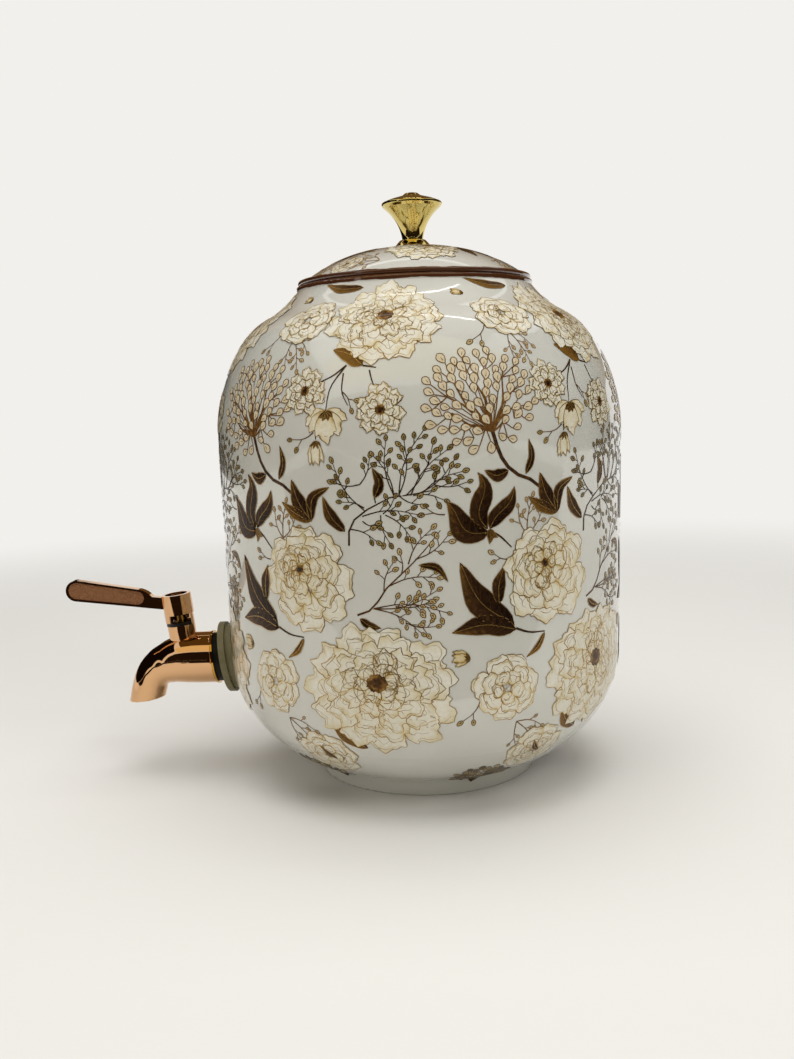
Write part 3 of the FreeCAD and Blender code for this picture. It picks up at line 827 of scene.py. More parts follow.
class StripStamp(Stamp):
    """A ribbon of rows and columns, for stalks and leaves."""

    def __init__(self, rows: int, columns: int) -> None:
        """Models the ribbon.

        Args:
            rows: Rows along it.
            columns: Columns across it.
        """
        deselect()
        bpy.ops.mesh.primitive_grid_add(x_subdivisions=rows, y_subdivisions=columns, size=1.0)
        bpy.ops.object.mode_set(mode="EDIT")
        super().__init__()
        self.rows = rows
        self.row = np.round((self.points[:, 0] + 0.5) * rows).astype(int)
        self.column = np.round((self.points[:, 1] + 0.5) * columns).astype(int)

    def bend(self, line: np.ndarray, offsets: np.ndarray) -> np.ndarray:
        """Lays the ribbon along a line.

        Args:
            line: A point for each edge between rows.
            offsets: For each such point, each column edge's distance to the left.
        Returns:
            A point for each of the ribbon's own.
        """
        return line[self.row] + left_of(line)[self.row] * offsets[self.row, self.column][:, None]


def left_of(line: np.ndarray) -> np.ndarray:
    """The way to the left of a line at each of its points, as vectors of length 1."""
    ahead = np.gradient(line, axis=0)
    left = np.column_stack([-ahead[:, 1], ahead[:, 0]])
    return left / np.maximum(np.hypot(*left.T), TINY)[:, None]


def curve(points: ArrayLike, count: int) -> np.ndarray:
    """Smooth line through two or more points, as a Catmull-Rom spline.

    Args:
        points: The points, in order.
        count: Number of spans that the line is cut into.
    Returns:
        The line's points.
    """
    given = np.asarray(points, float)
    if len(given) == 2:
        return given[0] + (given[1] - given[0]) * np.linspace(0, 1, count + 1)[:, None]
    padded = np.vstack([2 * given[0] - given[1], given, 2 * given[-1] - given[-2]])
    made = []
    for share in np.linspace(0, len(given) - 1, count + 1):
        span = min(int(share), len(given) - 2)
        t = share - span
        before, start, end, after = padded[span:span + 4]
        made.append(0.5 * (2 * start + (end - before) * t
                           + (2 * before - 5 * start + 4 * end - after) * t * t
                           + (3 * start - before - 3 * end + after) * t ** 3))
    return np.array(made)


def bowed(start: Point, end: Point, bow: float) -> list[Point]:
    """Three points of a bowed line.

    Args:
        start: Where it starts.
        end: Where it ends.
        bow: How far it bows to the left, as a share of its length.
    Returns:
        Its start, middle and end.
    """
    across, up = end[0] - start[0], end[1] - start[1]
    middle = ((start[0] + end[0]) / 2 - up * bow, (start[1] + end[1]) / 2 + across * bow)
    return [start, middle, end]


def petal_outline(sides: int, length: float, width: float, ruffle: float = 0.0,
                  phase: float = 0.0, point: float = 1.0, blunt: float = 0.62) -> np.ndarray:
    """Outline of a petal or berry that stands on the origin and points up.

    Args:
        sides: Number of points.
        length: Its length.
        width: Its greatest width.
        ruffle: Depth of the waves at its tip, as a share of its size.
        phase: Where the waves start, in radians.
        point: Above 1 it is widest near the tip, below 1 near the base.
        blunt: The lower, the broader its two ends.
    Returns:
        The points, turning left.
    """
    angle = np.arange(sides) / sides * math.tau
    rise = (1 - np.cos(angle)) / 2
    half = np.sin(math.pi * rise ** point) ** blunt * width / 2
    outline = np.column_stack([half * np.sign(np.sin(angle)), rise * length])
    # Only the part near the tip is ruffled, by broad and fine waves and a notch.
    tip = np.clip(0.25 - np.cos(angle), 0, 1) ** 0.5
    frill = np.sin(5 * angle + phase) + 0.7 * np.sin(11 * angle - phase)
    notch = math.sin(phase) * np.exp(-((angle - math.pi) / 0.3) ** 2)
    return outline * (1 + ruffle * tip * (frill - notch))[:, None]


class Stamps:
    """The patches that every motif is bent from, modelled once, each as fine as it has to be."""

    def __init__(self) -> None:
        """Models them."""
        self.petal = RoundStamp(sides=36, rings=2)
        self.berry = RoundStamp(sides=12, rings=1)
        self.stalk = StripStamp(rows=7, columns=1)
        self.tick = StripStamp(rows=2, columns=1)
        self.leaf = StripStamp(rows=12, columns=7)


@dataclass(frozen=True)
class BerryForm:
    """A berry's form: its width and its mark's as shares of its length, and its line's width.

    Above 1, point makes it widest near its tip, and below 1 near its base.
    """
    width: float
    point: float
    mark: float
    line: float


CLOSED_BERRY = BerryForm(width=0.68, point=0.9, mark=0.2, line=0.36)
FLORET = BerryForm(width=0.76, point=1.35, mark=0.07, line=0.396)


class Press:
    """Draws motifs and gathers them, ink by ink, as patches on a turned surface."""
    # A leaf's line, its veins, the lift of the lowest film of ink and what each film above adds.
    thin: float = 0.36
    vein: float = 0.16
    first_lift: float = 0.085
    layer: float = 0.022
    # How many films higher a line lies than the patch that it crosses.
    above: float = 0.6
    # Tone along a petal's edge and along its line: its middle and its swing.
    edge_wash: Point = (0.32, 0.26)
    line_wash: Point = (0.5, 0.25)

    def __init__(self, skin: Skin, stamps: Stamps, seed: int) -> None:
        """Sets up empty plates and a seeded source of unevenness.

        Args:
            skin: The surface that is printed.
            stamps: The patches to bend.
            seed: Start of the random draws.
        """
        self.skin = skin
        self.stamps = stamps
        self.chance = np.random.default_rng(seed)
        self.copy = Place()
        self.plates = {ink: [] for ink in Ink}

    def spot(self, at: Point, turn: float = 0.0, size: float = 1.0, widen: float = 1.0) -> Place:
        """Where a motif goes on the sheet, widened so that it comes out true.

        Args:
            at: The point of the sheet.
            turn: How far it is turned left, in degrees.
            size: How much larger it is than drawn.
            widen: How much wider it is than tall.
        Returns:
            Its place.
        """
        return Place(at[0], at[1], turn, size, self.skin.stretch(at[1]) * widen)

    def put(self, ink: Ink, points: np.ndarray, faces: np.ndarray, level: float,
            shades: ArrayLike = 0.0) -> None:
        """Keeps the faces of one patch for an ink's plate.

        Args:
            ink: The ink.
            points: The patch's points on the sheet.
            faces: Its triangles.
            level: Its place in the order of printing.
            shades: Tone of the whole patch or of each point, from 0 to 1.
        """
        used, numbered = np.unique(faces, return_inverse=True)
        tones = np.broadcast_to(np.asarray(shades, float), len(points))[used]
        lifts = np.full(len(used), self.first_lift + self.layer * level)
        points, normals = self.skin.wrap(self.copy.put(points[used]), lifts)
        self.plates[ink].append((points, normals, tones, numbered.reshape(-1, 3)))

    def patch(self, outline: np.ndarray, spot: Place, place: Place, inks: tuple[Ink, Ink],
              level: float, line: float, shades: tuple[float, float] = (0.0, 0.0)) -> None:
        """Prints a petal: pale inside, darker towards its base and edge, with a line round it.

        Args:
            outline: Its outline about its own origin, pointing up.
            spot: Where it goes in its motif.
            place: Where the motif goes.
            inks: The ink inside and the ink of the line.
            level: Its place in the order of printing.
            line: Width of the line.
            shades: Tone of the inside near the tip and near the base.
        """
        stamp = self.stamps.petal
        local = stamp.bend(outline, line)
        rise = np.clip(local[:, 1] / outline[:, 1].max(), 0, 1)
        points = place.put(spot.put(local))
        turns = stamp.side / stamp.sides * math.tau
        wash = (self.edge_wash[0] + self.edge_wash[1]
                * np.sin(3 * turns + self.chance.uniform(0, math.tau)))
        edge = wash * (stamp.ring == 1)
        self.put(inks[0], points, stamp.middle, level,
                 np.clip(shades[1] + (shades[0] - shades[1]) * rise ** 0.6 + edge, 0, 1))
        tone = (self.line_wash[0] + self.line_wash[1]
                * np.sin(2 * turns + self.chance.uniform(0, math.tau)))
        self.put(inks[1], points, stamp.band, level, tone)

    def stroke(self, points: ArrayLike, place: Place, ink: Ink, width: float, level: float,
               taper: float = 0.5, shade: float = 0.5, short: bool = False) -> None:
        """Prints a line that thins towards its end.

        Args:
            points: Points that it goes through.
            place: Where they go.
            ink: Its ink.
            width: Its width at the start.
            level: Its place in the order of printing.
            taper: Width at the far end, as a share.
            shade: Its tone.
            short: Whether few spans are enough.
        """
        stamp = self.stamps.tick if short else self.stamps.stalk
        line = curve(points, stamp.rows)
        half = width / 2 * np.linspace(1, taper, stamp.rows + 1)
        self.put(ink, place.put(stamp.bend(line, np.column_stack([-half, half]))), stamp.faces,
                 level, shade)

    def leaf(self, base: Point, tip: Point, width: float, bow: float, place: Place,
             level: float, shade: float = 0.2, skew: float = 1.0, sway: float = 0.0) -> None:
        """Prints a leaf with a lit edge, a pale midrib and veins.

        Args:
            base: Where its stalk joins.
            tip: Its point.
            width: Its greatest width.
            bow: How far its midrib bows to the left, as a share of its length.
            place: Where it goes.
            level: Its place in the order of printing.
            shade: Its tone, from dark brown to golden.
            skew: Above 1 it is widest near the tip.
            sway: Depth of the midrib's double bend, as a share of its length.
        """
        stamp = self.stamps.leaf
        line = curve(bowed(base, tip, bow), stamp.rows)
        rise = np.linspace(0, 1, stamp.rows + 1)
        aside = np.array([base[1] - tip[1], tip[0] - base[0]]) * sway
        line = line + np.sin(math.tau * rise)[:, None] * aside
        # Pointed at both its ends, slimmer towards the tip, with a slightly uneven edge.
        half = width / 2 * np.sin(math.pi * rise ** skew) ** 0.8 * (1 - 0.25 * rise)
        half = half * (1 + 0.07 * np.sin(13 * rise + 9 * bow))
        edge = np.minimum(self.thin, half * 0.4)
        rib = np.minimum(self.thin * 0.5, half * 0.2)
        columns = np.column_stack([-half, edge - half, -half / 2, -rib, rib, half / 2,
                                   half - edge, half])
        points = place.put(stamp.bend(line, columns))
        # Of its seven columns, the outer two are its edges and the middle one is its midrib.
        side = stamp.column[stamp.faces]
        lines = ((side.max(axis=1) == 1) | (side.min(axis=1) == 6)
                 | ((side.min(axis=1) == 3) & (side.max(axis=1) == 4)))
        self.put(Ink.GOLD, points, stamp.faces[lines], level, 0.55)
        # It is lighter towards the tip and on its left side.
        lit = 0.5 * rise[stamp.row] ** 2 + 0.22 * (stamp.column > 4) - 0.12 * (stamp.column < 3)
        self.put(Ink.LEAF, points, stamp.faces[~lines], level, np.clip(shade + lit, 0, 1))
        left = left_of(line)
        for row in range(2, stamp.rows - 2, 2):
            for sign in (-1, 1):
                end = line[row + 2] + left[row + 2] * sign * half[row + 2] * 0.8
                self.stroke([line[row], end], place, Ink.GOLD, self.vein, level + self.above,
                            0.4, 1.0, True)

    def berry(self, at: Point, toward: float, length: float, level: float, shade: float,
              line_shade: float = 0.2, form: BerryForm = CLOSED_BERRY) -> None:
        """Prints one berry: an egg shape with a line round it and a mark inside.

        Args:
            at: Where its stalk joins, on the sheet.
            toward: The way it points, in degrees.
            length: Its length.
            level: Its place in the order of printing.
            shade: Its tone, from pale tan to dark.
            line_shade: The line's tone, from dark to golden brown.
            form: Its form.
        """
        size = length * self.chance.uniform(0.88, 1.12)
        place = self.spot(at, toward - 90)
        stamp = self.stamps.berry
        outline = petal_outline(stamp.sides, size, size * form.width, point=form.point)
        points = place.put(stamp.bend(outline, form.line))
        self.put(Ink.BERRY, points, stamp.middle, level, shade)
        self.put(Ink.BROWN, points, stamp.band, level, line_shade)
        mark = [(0, size * 0.3), (size * 0.05, size * 0.62)]
        self.stroke(mark, place, Ink.BROWN, size * form.mark, level + 0.4, 0.4, line_shade, True)


def toward_of(start: Point, end: Point) -> float:
    """The way from one point to another, in degrees."""
    return math.degrees(math.atan2(end[1] - start[1], end[0] - start[0]))


def polar(angle: float, reach: float, start: Point = (0.0, 0.0)) -> Point:
    """The point in a direction and at a distance from another.

    Args:
        angle: The direction in degrees.
        reach: The distance.
        start: The other point.
    Returns:
        The point.
    """
    turn = math.radians(angle)
    return start[0] + reach * math.cos(turn), start[1] + reach * math.sin(turn)


# ---- Motifs ----------------------------------------------------------------------------------
class Motif(Protocol):
    """Whatever a press can draw. Its root tells which half of the tile it belongs to."""
    root: Point

    def draw(self, press: Press) -> None:
        """Prints it."""


@dataclass(frozen=True)
class Stem:
    """A stalk through a few points of the sheet."""
    points: tuple[Point, ...]
    width: float = 1.0
    taper: float = 0.5
    shade: float = 0.15
    level: float = 0.0

    @property
    def root(self) -> Point:
        """Where it starts."""
        return self.points[0]

    def draw(self, press: Press) -> None:
        """Prints it as one smooth line.

        Args:
            press: The press.
        """
        press.stroke(self.points, Place(), Ink.BROWN, self.width, self.level, self.taper,
                     self.shade)


@dataclass(frozen=True)
class Leaf:
    """A leaf from its base to its tip."""
    root: Point
    tip: Point
    width: float
    bow: float = 0.08
    shade: float = 0.15
    skew: float = 0.85
    level: float = 4.6
    sway: float = 0.0

    def draw(self, press: Press) -> None:
        """Prints it.

        Args:
            press: The press.
        """
        press.leaf(self.root, self.tip, self.width, self.bow, Place(), self.level, self.shade,
                   self.skew, self.sway)


@dataclass(frozen=True)
class Twig:
    """A bowed stalk with berries on short stalks, to each side in turn."""
    root: Point
    end: Point
    berries: int
    bow: float = 0.12
    size: float = 3.1
    shade: float = 0.85
    line_shade: float = 0.1
    stalk: float = 2.6
    level: float = 1.2
    # Width of the twig and of a berry's stalk, the twig's bare share and the berries' least and
    # greatest angle to it.
    widths: Point = (0.55, 0.38)
    bare: float = 0.22
    fork: Point = (32, 58)
    spans: int = 24

    def draw(self, press: Press) -> None:
        """Prints the stalk and its berries.

        Args:
            press: The press.
        """
        line = curve(bowed(self.root, self.end, self.bow), self.spans)
        press.stroke(line[::self.spans // 3], Place(), Ink.BROWN, self.widths[0],
                     self.level - 0.6, 0.5, self.line_shade)
        for number in range(self.berries):
            share = self.bare + (1 - self.bare) * (number + 1) / self.berries
            index = min(round(self.spans * share), self.spans)
            last = number == self.berries - 1
            side = 0 if last else (-1) ** number
            toward = toward_of(line[index - 1], line[index])
            toward += side * press.chance.uniform(*self.fork)
            reach = self.stalk * (0.3 if last else press.chance.uniform(0.6, 1.25))
            joint = polar(toward, reach, line[index])
            press.stroke([line[index], joint], Place(), Ink.BROWN, self.widths[1],
                         self.level - 0.3, 0.8, self.line_shade, True)
            press.berry(joint, toward, self.size, self.level + 0.5 * (number % 3),
                        self.shade * press.chance.uniform(0.75, 1.1), self.line_shade)


@dataclass(frozen=True)
class Umbel:
    """A ball of drop-shaped florets on stalks that fan out from one joint."""
    root: Point
    middle: Point
    reach: Point
    florets: int
    size: float = 5.0
    shade: float = 0.05
    line_shade: float = 0.5
    level: float = 2.4
    branches: int = 11
    # Width of a branch and of a floret's stalk, and how far out, as a share, the branches reach.
    widths: Point = (0.95, 0.5)
    forked: float = 0.62

    def draw(self, press: Press) -> None:
        """Prints the stalks, then the florets from the edge inwards.

        Args:
            press: The press.
        """
        golden_turn = 180 * (3 - math.sqrt(5))
        forks = []
        for number in range(self.branches):
            across, up = polar(360 * number / self.branches + 12, self.forked)
            fork = (self.middle[0] + self.reach[0] * across, self.middle[1] + self.reach[1] * up)
            forks.append(fork)
            press.stroke(bowed(self.root, fork, 0.08 * (-1) ** number), Place(), Ink.BROWN,
                         self.widths[0], self.level, 0.7, self.line_shade)
        for number in reversed(range(self.florets)):
            share = math.sqrt((number + 0.5) / self.florets)
            across, up = polar(number * golden_turn, share)
            at = (self.middle[0] + self.reach[0] * across, self.middle[1] + self.reach[1] * up)
            joint = min(forks, key=lambda fork: math.dist(fork, at))
            # The inner florets stand on stalks of their own.
            if share < 0.6:
                joint = self.root
            toward = toward_of(self.root, at) + press.chance.uniform(-24, 24)
            press.stroke([joint, at], Place(), Ink.BROWN, self.widths[1], self.level + 0.2, 0.8,
                         self.line_shade, True)
            press.berry(at, toward, self.size, self.level + 0.6 + 0.6 * (number % 3),
                        self.shade * press.chance.uniform(0.4, 2.2), self.line_shade, FLORET)


@dataclass(frozen=True)
class Ring:
    """One ring of a flower's petals, as shares of the flower's radius."""
    count: int
    start: float
    length: float
    width: float
    shade: float


@dataclass(frozen=True)
class Bloom:
    """A kind of flower seen from above: rings of petals, curled lines and a dark heart."""
    rings: tuple[Ring, ...]
    heart: float
    ruffle: float = 0.05
    curls: int = 0
    line: float = 0.42
    brown: float = 0.0
    # How near its tip a petal is widest and how broad its ends are, and the folds inside its tip
    # as shares of its outline.
    form: Point = (1.3, 0.42)
    folds: Point = (0.88, 0.66)


# Each ring has its number of petals, their start, length and width, and its shade.
PEONY = Bloom((Ring(11, 0.44, 0.56, 0.56, 0.05), Ring(10, 0.34, 0.5, 0.48, 0.12),
               Ring(9, 0.22, 0.46, 0.4, 0.2), Ring(8, 0.12, 0.4, 0.32, 0.28),
               Ring(6, 0.06, 0.26, 0.24, 0.34)), 0.14, 0.07, 26, 0.32, 0.6)
ROSE = Bloom((Ring(8, 0.4, 0.6, 0.66, 0.1), Ring(8, 0.3, 0.52, 0.56, 0.22),
              Ring(7, 0.2, 0.44, 0.46, 0.34), Ring(6, 0.12, 0.34, 0.36, 0.45),
              Ring(5, 0.06, 0.22, 0.24, 0.6)), 0.08, 0.05, 18, 0.36)
CUP_ROSE = Bloom((Ring(7, 0.36, 0.64, 0.78, 0.04), Ring(6, 0.22, 0.54, 0.62, 0.1),
                  Ring(5, 0.1, 0.4, 0.46, 0.16)), 0.0, 0.04, 7, 0.34)
ANEMONE = Bloom((Ring(9, 0.4, 0.6, 0.54, 0.12), Ring(8, 0.28, 0.5, 0.46, 0.2),
                 Ring(7, 0.12, 0.46, 0.4, 0.08)), 0.2, 0.06, 4, 0.34)


@dataclass(frozen=True)
class Flower:
    """A bloom at its place, drawn from its outer ring inwards."""
    bloom: Bloom
    root: Point
    radius: float
    widen: float = 1.0
    heart_at: Point = (0.0, 0.0)
    level: float = 6.0

    def draw(self, press: Press) -> None:
        """Prints the petals, the curls and the heart.

        Args:
            press: The press.
        """
        place = press.spot(self.root, widen=self.widen)
        for number, ring in enumerate(self.bloom.rings):
            inward = 1 - (number + 1) / len(self.bloom.rings)
            first = press.chance.uniform(0, 360)
            for petal in range(ring.count):
                toward = first + 360 * petal / ring.count + press.chance.uniform(-7, 7)
                self.petal(press, place, ring, toward, inward,
                           self.level + 2 * number + petal % 2)
        top = self.level + 2 * len(self.bloom.rings)
        for _ in range(self.bloom.curls):
            self.curl(press, place, top)
        if self.bloom.heart:
            self.heart(press, place, top + press.above)

    def petal(self, press: Press, place: Place, ring: Ring, toward: float, inward: float,
              level: float) -> None:
        """Prints one petal with its folds.

        Args:
            press: The press.
            place: Where the flower's middle goes.
            ring: Its ring.
            toward: The way it points, in degrees.
            inward: How little its ring is drawn towards the heart, from 0 to 1.
            level: Its place in the order of printing.
        """
        uneven = press.chance.uniform
        length = self.radius * ring.length * uneven(0.9, 1.1)
        width = self.radius * ring.width * uneven(0.9, 1.12)
        outline = petal_outline(press.stamps.petal.sides, length, width, self.bloom.ruffle,
                                uneven(0, math.tau), *self.bloom.form)
        shift = [part * (1 - inward) for part in self.heart_at]
        spot = Place(*polar(toward, self.radius * ring.start, shift), toward - 90)
        line = self.bloom.line * uneven(0.8, 1.2)
        press.patch(outline, spot, place, (Ink.PETAL, Ink.GOLD), level, line,
                    (ring.shade * 0.35, ring.shade + uneven(0.1, 0.3)))
        middle = len(outline) // 2
        for share in self.bloom.folds:
            begin = middle + int(uneven(-10, -2))
            fold = outline[begin:begin + 9:2] * (share, share * 1.02)
            press.stroke(spot.put(fold), place, Ink.GOLD, line * 0.8, level + press.above, 0.3,
                         uneven(0.4, 0.8))
        # A crease runs up from its base and bends back near its tip.
        lean = width * uneven(-0.3, 0.3)
        crease = [(0, length * 0.2), (lean, length * 0.45),
                  (lean * 0.6, length * uneven(0.6, 0.85))]
        press.stroke(spot.put(crease), place, Ink.GOLD, line * 0.7, level + press.above, 0.3, 0.6)

    def curl(self, press: Press, place: Place, level: float) -> None:
        """Prints one curled line near the heart.

        Args:
            press: The press.
            place: Where the flower's middle goes.
            level: Its place in the order of printing.
        """
        uneven = press.chance.uniform
        size, first = self.radius * uneven(0.07, 0.2), uneven(0, math.tau)
        across, up = polar(uneven(0, 360), self.radius * uneven(0.08, 0.42), self.heart_at)
        turns = first + np.linspace(0, uneven(2.2, 5.2), 6)
        points = np.column_stack([across + size * np.cos(turns), up + size * np.sin(turns) * 1.3])
        press.stroke(points, place, Ink.GOLD, self.bloom.line, level, 0.4, 0.55)

    def heart(self, press: Press, place: Place, level: float) -> None:
        """Prints the dark heart, a little uneven along its edge.

        Args:
            press: The press.
            place: Where the flower's middle goes.
            level: Its place in the order of printing.
        """
        size = self.radius * self.bloom.heart
        turns = np.arange(press.stamps.petal.sides) / press.stamps.petal.sides * math.tau
        edge = size * (1 + 0.07 * np.sin(9 * turns) + 0.05 * np.sin(14 * turns))
        outline = np.column_stack([edge * np.sin(turns), size - edge * np.cos(turns)])
        press.patch(outline, Place(self.heart_at[0], self.heart_at[1] - size), place,
                    (Ink.BROWN, Ink.BROWN), level, size * 0.3, (0.0, self.bloom.brown))


@dataclass(frozen=True)
class Bell:
    """A hanging flower or bud: petals that fan out from a dark calyx."""
    root: Point
    length: float
    width: float
    petals: int = 5
    fan: float = 52.0
    turn: float = 180.0
    shades: tuple[float, float] = (0.1, 0.6)
    level: float = 5.4
    # The ways that the calyx's leaves point, from the stalk's, and their size as shares.
    calyx: tuple[float, ...] = (-50, -18, 18, 50)
    calyx_size: Point = (0.36, 0.28)

    def draw(self, press: Press) -> None:
        """Prints the petals from the sides to the middle, then the calyx.

        Args:
            press: The press.
        """
        place = press.spot(self.root)
        order = sorted(np.linspace(-self.fan, self.fan, self.petals), key=abs, reverse=True)
        for number, lean in enumerate(order):
            outline = petal_outline(press.stamps.petal.sides,
                                    self.length * (1 - abs(lean) / 300), self.width, 0.08,
                                    number, 1.25, 0.45)
            press.patch(outline, Place(turn=self.turn + lean), place, (Ink.PETAL, Ink.GOLD),
                        self.level + 0.7 * number, 0.36, self.shades)
        for lean in self.calyx:
            tip = polar(self.turn + lean + 90, self.length * self.calyx_size[0])
            press.leaf((0, 0), tip, self.width * self.calyx_size[1], 0.1, place,
                       self.level + 0.7 * self.petals, 0.35)


def pair_of_berries(joint: Point, end: Point, shade: float = 0.5) -> Twig:
    """A small sprig with two berries."""
    return Twig(joint, end, 2, shade=shade, line_shade=0.35, size=3.4, stalk=3.4)


def spray(joint: Point, toward: float, length: float) -> list[Motif]:
    """Three pale twigs that fan out from a joint.

    Args:
        joint: The joint.
        toward: The way that they point, in degrees.
        length: The longest one's length.
    Returns:
        The twigs.
    """
    return [Twig(joint, polar(toward + lean, length * reach, joint), berries, bow, 2.7, 0.35, 0.6)
            for lean, reach, berries, bow in ((-30, 0.8, 4, -0.1), (0, 1.0, 5, 0.06),
                                              (32, 0.75, 3, 0.12))]


def berry_tree(spine: tuple[Point, ...], twigs: tuple[tuple[Point, Point, int], ...],
               **looks: float) -> list[Motif]:
    """A stem with its berry twigs.

    Args:
        spine: The stem's points.
        twigs: Each twig's start, its end and its number of berries.
        **looks: The twigs' size and shades.
    Returns:
        The stem and the twigs.
    """
    shade = looks.get("line_shade", 0.1)
    return [Stem(spine, 0.9, 0.4, shade, 0.3)] + [
        Twig(start, end, berries, (-1) ** number * 0.1, **looks)
        for number, (start, end, berries) in enumerate(twigs)]


# The motifs of one tile. On its sheet x runs round the pot from the middle of the printed side,
# and y runs up along the outline from the foot. The lid's sheet has the dome's top as its middle.
DARK_TREE = berry_tree(
    ((-31.5, 145), (-30.6, 153.3), (-24.3, 159.4), (-11, 165.9), (1.3, 166.7), (14.8, 171.7)),
    (((-24, 160), (-37, 179), 6), ((-25.5, 171), (-21, 181), 4), ((-25.5, 171), (-36.5, 171.5), 3),
     ((-24, 161), (-33, 163.5), 3), ((-19, 163), (-18.5, 169), 1), ((-11, 166), (-18.5, 182), 5),
     ((-11, 166), (-13.8, 188), 6), ((-9, 166), (-6, 188), 6), ((-9, 166), (1.5, 192), 7),
     ((-6, 166), (5.5, 186), 5), ((-4, 166), (11, 184), 6), ((-1, 166.5), (14, 179.5), 5),
     ((1, 167), (17, 175), 5), ((6, 170), (19, 170.5), 3), ((-3, 166), (9, 164), 3),
     ((-9, 166), (0, 162), 2), ((-25, 157.5), (-2, 158), 7), ((-16, 158.5), (-11.5, 164), 2),
     ((-15, 158), (-5, 149), 5), ((-17, 158), (-14, 147), 3), ((-30.5, 152), (-20, 147.5), 3),
     ((-25, 155.5), (-19.5, 153), 2)), size=3.2)
GOLDEN_TREE = berry_tree(
    ((-29.1, 115), (-21.7, 118.2), (-16.8, 125.6), (-7.7, 134.1), (-0.7, 140.8), (8, 151)),
    (((-16.8, 125.6), (-13, 137), 4), ((-9, 133), (-9, 140), 2), ((-6, 137), (3.5, 151), 5),
     ((-3, 139), (10.5, 148), 5), ((-14, 128), (5, 131), 6), ((-21.7, 118), (5, 125), 8),
     ((-21.7, 118), (9, 116), 9), ((-12, 119), (3, 121), 5), ((-21.7, 118), (-2, 108), 7),
     ((-8, 112), (4, 110), 4)), shade=0.45, line_shade=0.32)
STEMS = (
    Stem(((31.3, 191.3), (33.8, 183.3), (37.4, 176.9), (44, 171.9), (52.8, 168.3), (62, 157)),
         1.7, 0.8),
    Stem(((29.4, 149.5), (34, 147), (39.3, 141.9)), 1.1),
    Stem(((41, 106.5), (48, 104), (56, 103.4)), 1.1),
    Stem(((-31.9, 221.5), (-38, 217), (-45, 214)), 0.9),
    Stem(((-31.9, 221.5), (-38.5, 212), (-40.2, 202)), 0.8),
    Stem(((-33, 218), (-33, 210), (-30, 204)), 0.7),
    Stem(((-21, 219), (-19.5, 214), (-17.5, 210)), 0.7),
    Stem(((-24.2, 221.1), (-18, 220)), 0.9), Stem(((-45, 193), (-45, 190)), 0.8))
LEAVES = (
    Leaf((28.4, 150.5), (24.3, 174.6), 10, 0.02, sway=0.1),
    Leaf((29.4, 150.5), (41, 168), 8.5, -0.05, sway=0.05),
    Leaf((29, 149), (10.8, 162.7), 12, 0.2, sway=0.06), Leaf((-49.1, 155.1), (-58.9, 173), 8.5),
    Leaf((29, 150.5), (29, 144), 3.6, 0.1, 0.5), Leaf((29, 150.5), (33, 146.5), 3, -0.1, 0.6),
    Leaf((-49.1, 155.1), (-65.2, 163.1), 6, 0.05, 0.5),
    Leaf((-49.1, 155.1), (-39.4, 169.9), 6, 0.25), Leaf((-33, 151), (-43, 166), 6.5, 0.1, 0.25),
    Leaf((-19.5, 165), (-20, 178), 5, -0.2), Leaf((40.3, 107.9), (15.8, 137.1), 13.5, 0.12),
    Leaf((41.1, 106.1), (11.6, 106.8), 10.5, -0.1), Leaf((-1.7, 136.5), (10.8, 128.8), 3.6, 0.2),
    Leaf((33, 118), (35.9, 134.4), 7), Leaf((46.5, 172.6), (48.1, 187.7), 4, -0.15),
    Leaf((38.3, 174.7), (27.4, 175.3), 6, 0.2), Leaf((-24.2, 221.1), (-40, 228.9), 9, -0.1, 0.75),
    Leaf((-29.2, 52.5), (-45.9, 67.5), 8, 0.1, 0.6),
    Leaf((-50, 42), (-57, 51), 3.6, 0.1, 0.3, level=14),
    Leaf((75, 270), (38, 274), 6, 0.05, 0.55), Leaf((-28, 113.5), (-18.5, 109.5), 4.2, -0.1),
    Leaf((56, 103), (46, 93), 3.5, 0.1, 0.6))
UMBELS = (
    Umbel((31.3, 191.3), (27.3, 205.2), (24, 20), 72),
    Umbel((36, 6), (34.5, 20.2), (18, 12), 50, 4.2, 0.7, 0.3))
SPRIGS = (
    pair_of_berries((38, 137), (32, 139)), pair_of_berries((10, 157.5), (3, 160)),
    pair_of_berries((24, 77), (17, 68)), pair_of_berries((36, 241), (28, 232)),
    pair_of_berries((-46, 193), (-56, 190), 0.8), pair_of_berries((-33, 210), (-29, 204), 0.6),
    *spray((47.2, 236.1), -65, 16), *spray((42, 64), -48, 19), *spray((47, 147), 80, 15))
FLOWERS = (
    Flower(CUP_ROSE, (-54.3, 44), 15, level=5.4), Flower(CUP_ROSE, (36.5, 80.9), 15.5),
    Flower(CUP_ROSE, (49, 247), 14), Flower(ANEMONE, (-51.3, 210.7), 10.5),
    Flower(ANEMONE, (-15.8, 201.8), 11), Flower(ROSE, (60, 128), 23, heart_at=(-3.9, 5.8), level=7),
    Flower(PEONY, (-15.9, 247), 25, level=6.5),
    Flower(PEONY, (-20.5, 80), 29, 1.14, (-0.8, 5.4), 8.5),
    Bell((-40.2, 201.9), 12.5, 10.0), Bell((-45.3, 189.5), 10.5, 5.0, 3, 14),
    Bell((19.5, 95.7), 8.0, 4.6, 3, 18, 90, (0.5, 0.9)),
    Bell((33.5, 264), 6.0, 3.0, 3, 12, 75, (0.5, 0.9)))
POT_TILE = (*STEMS, *DARK_TREE, *GOLDEN_TREE, *SPRIGS, *UMBELS, *LEAVES, *FLOWERS)
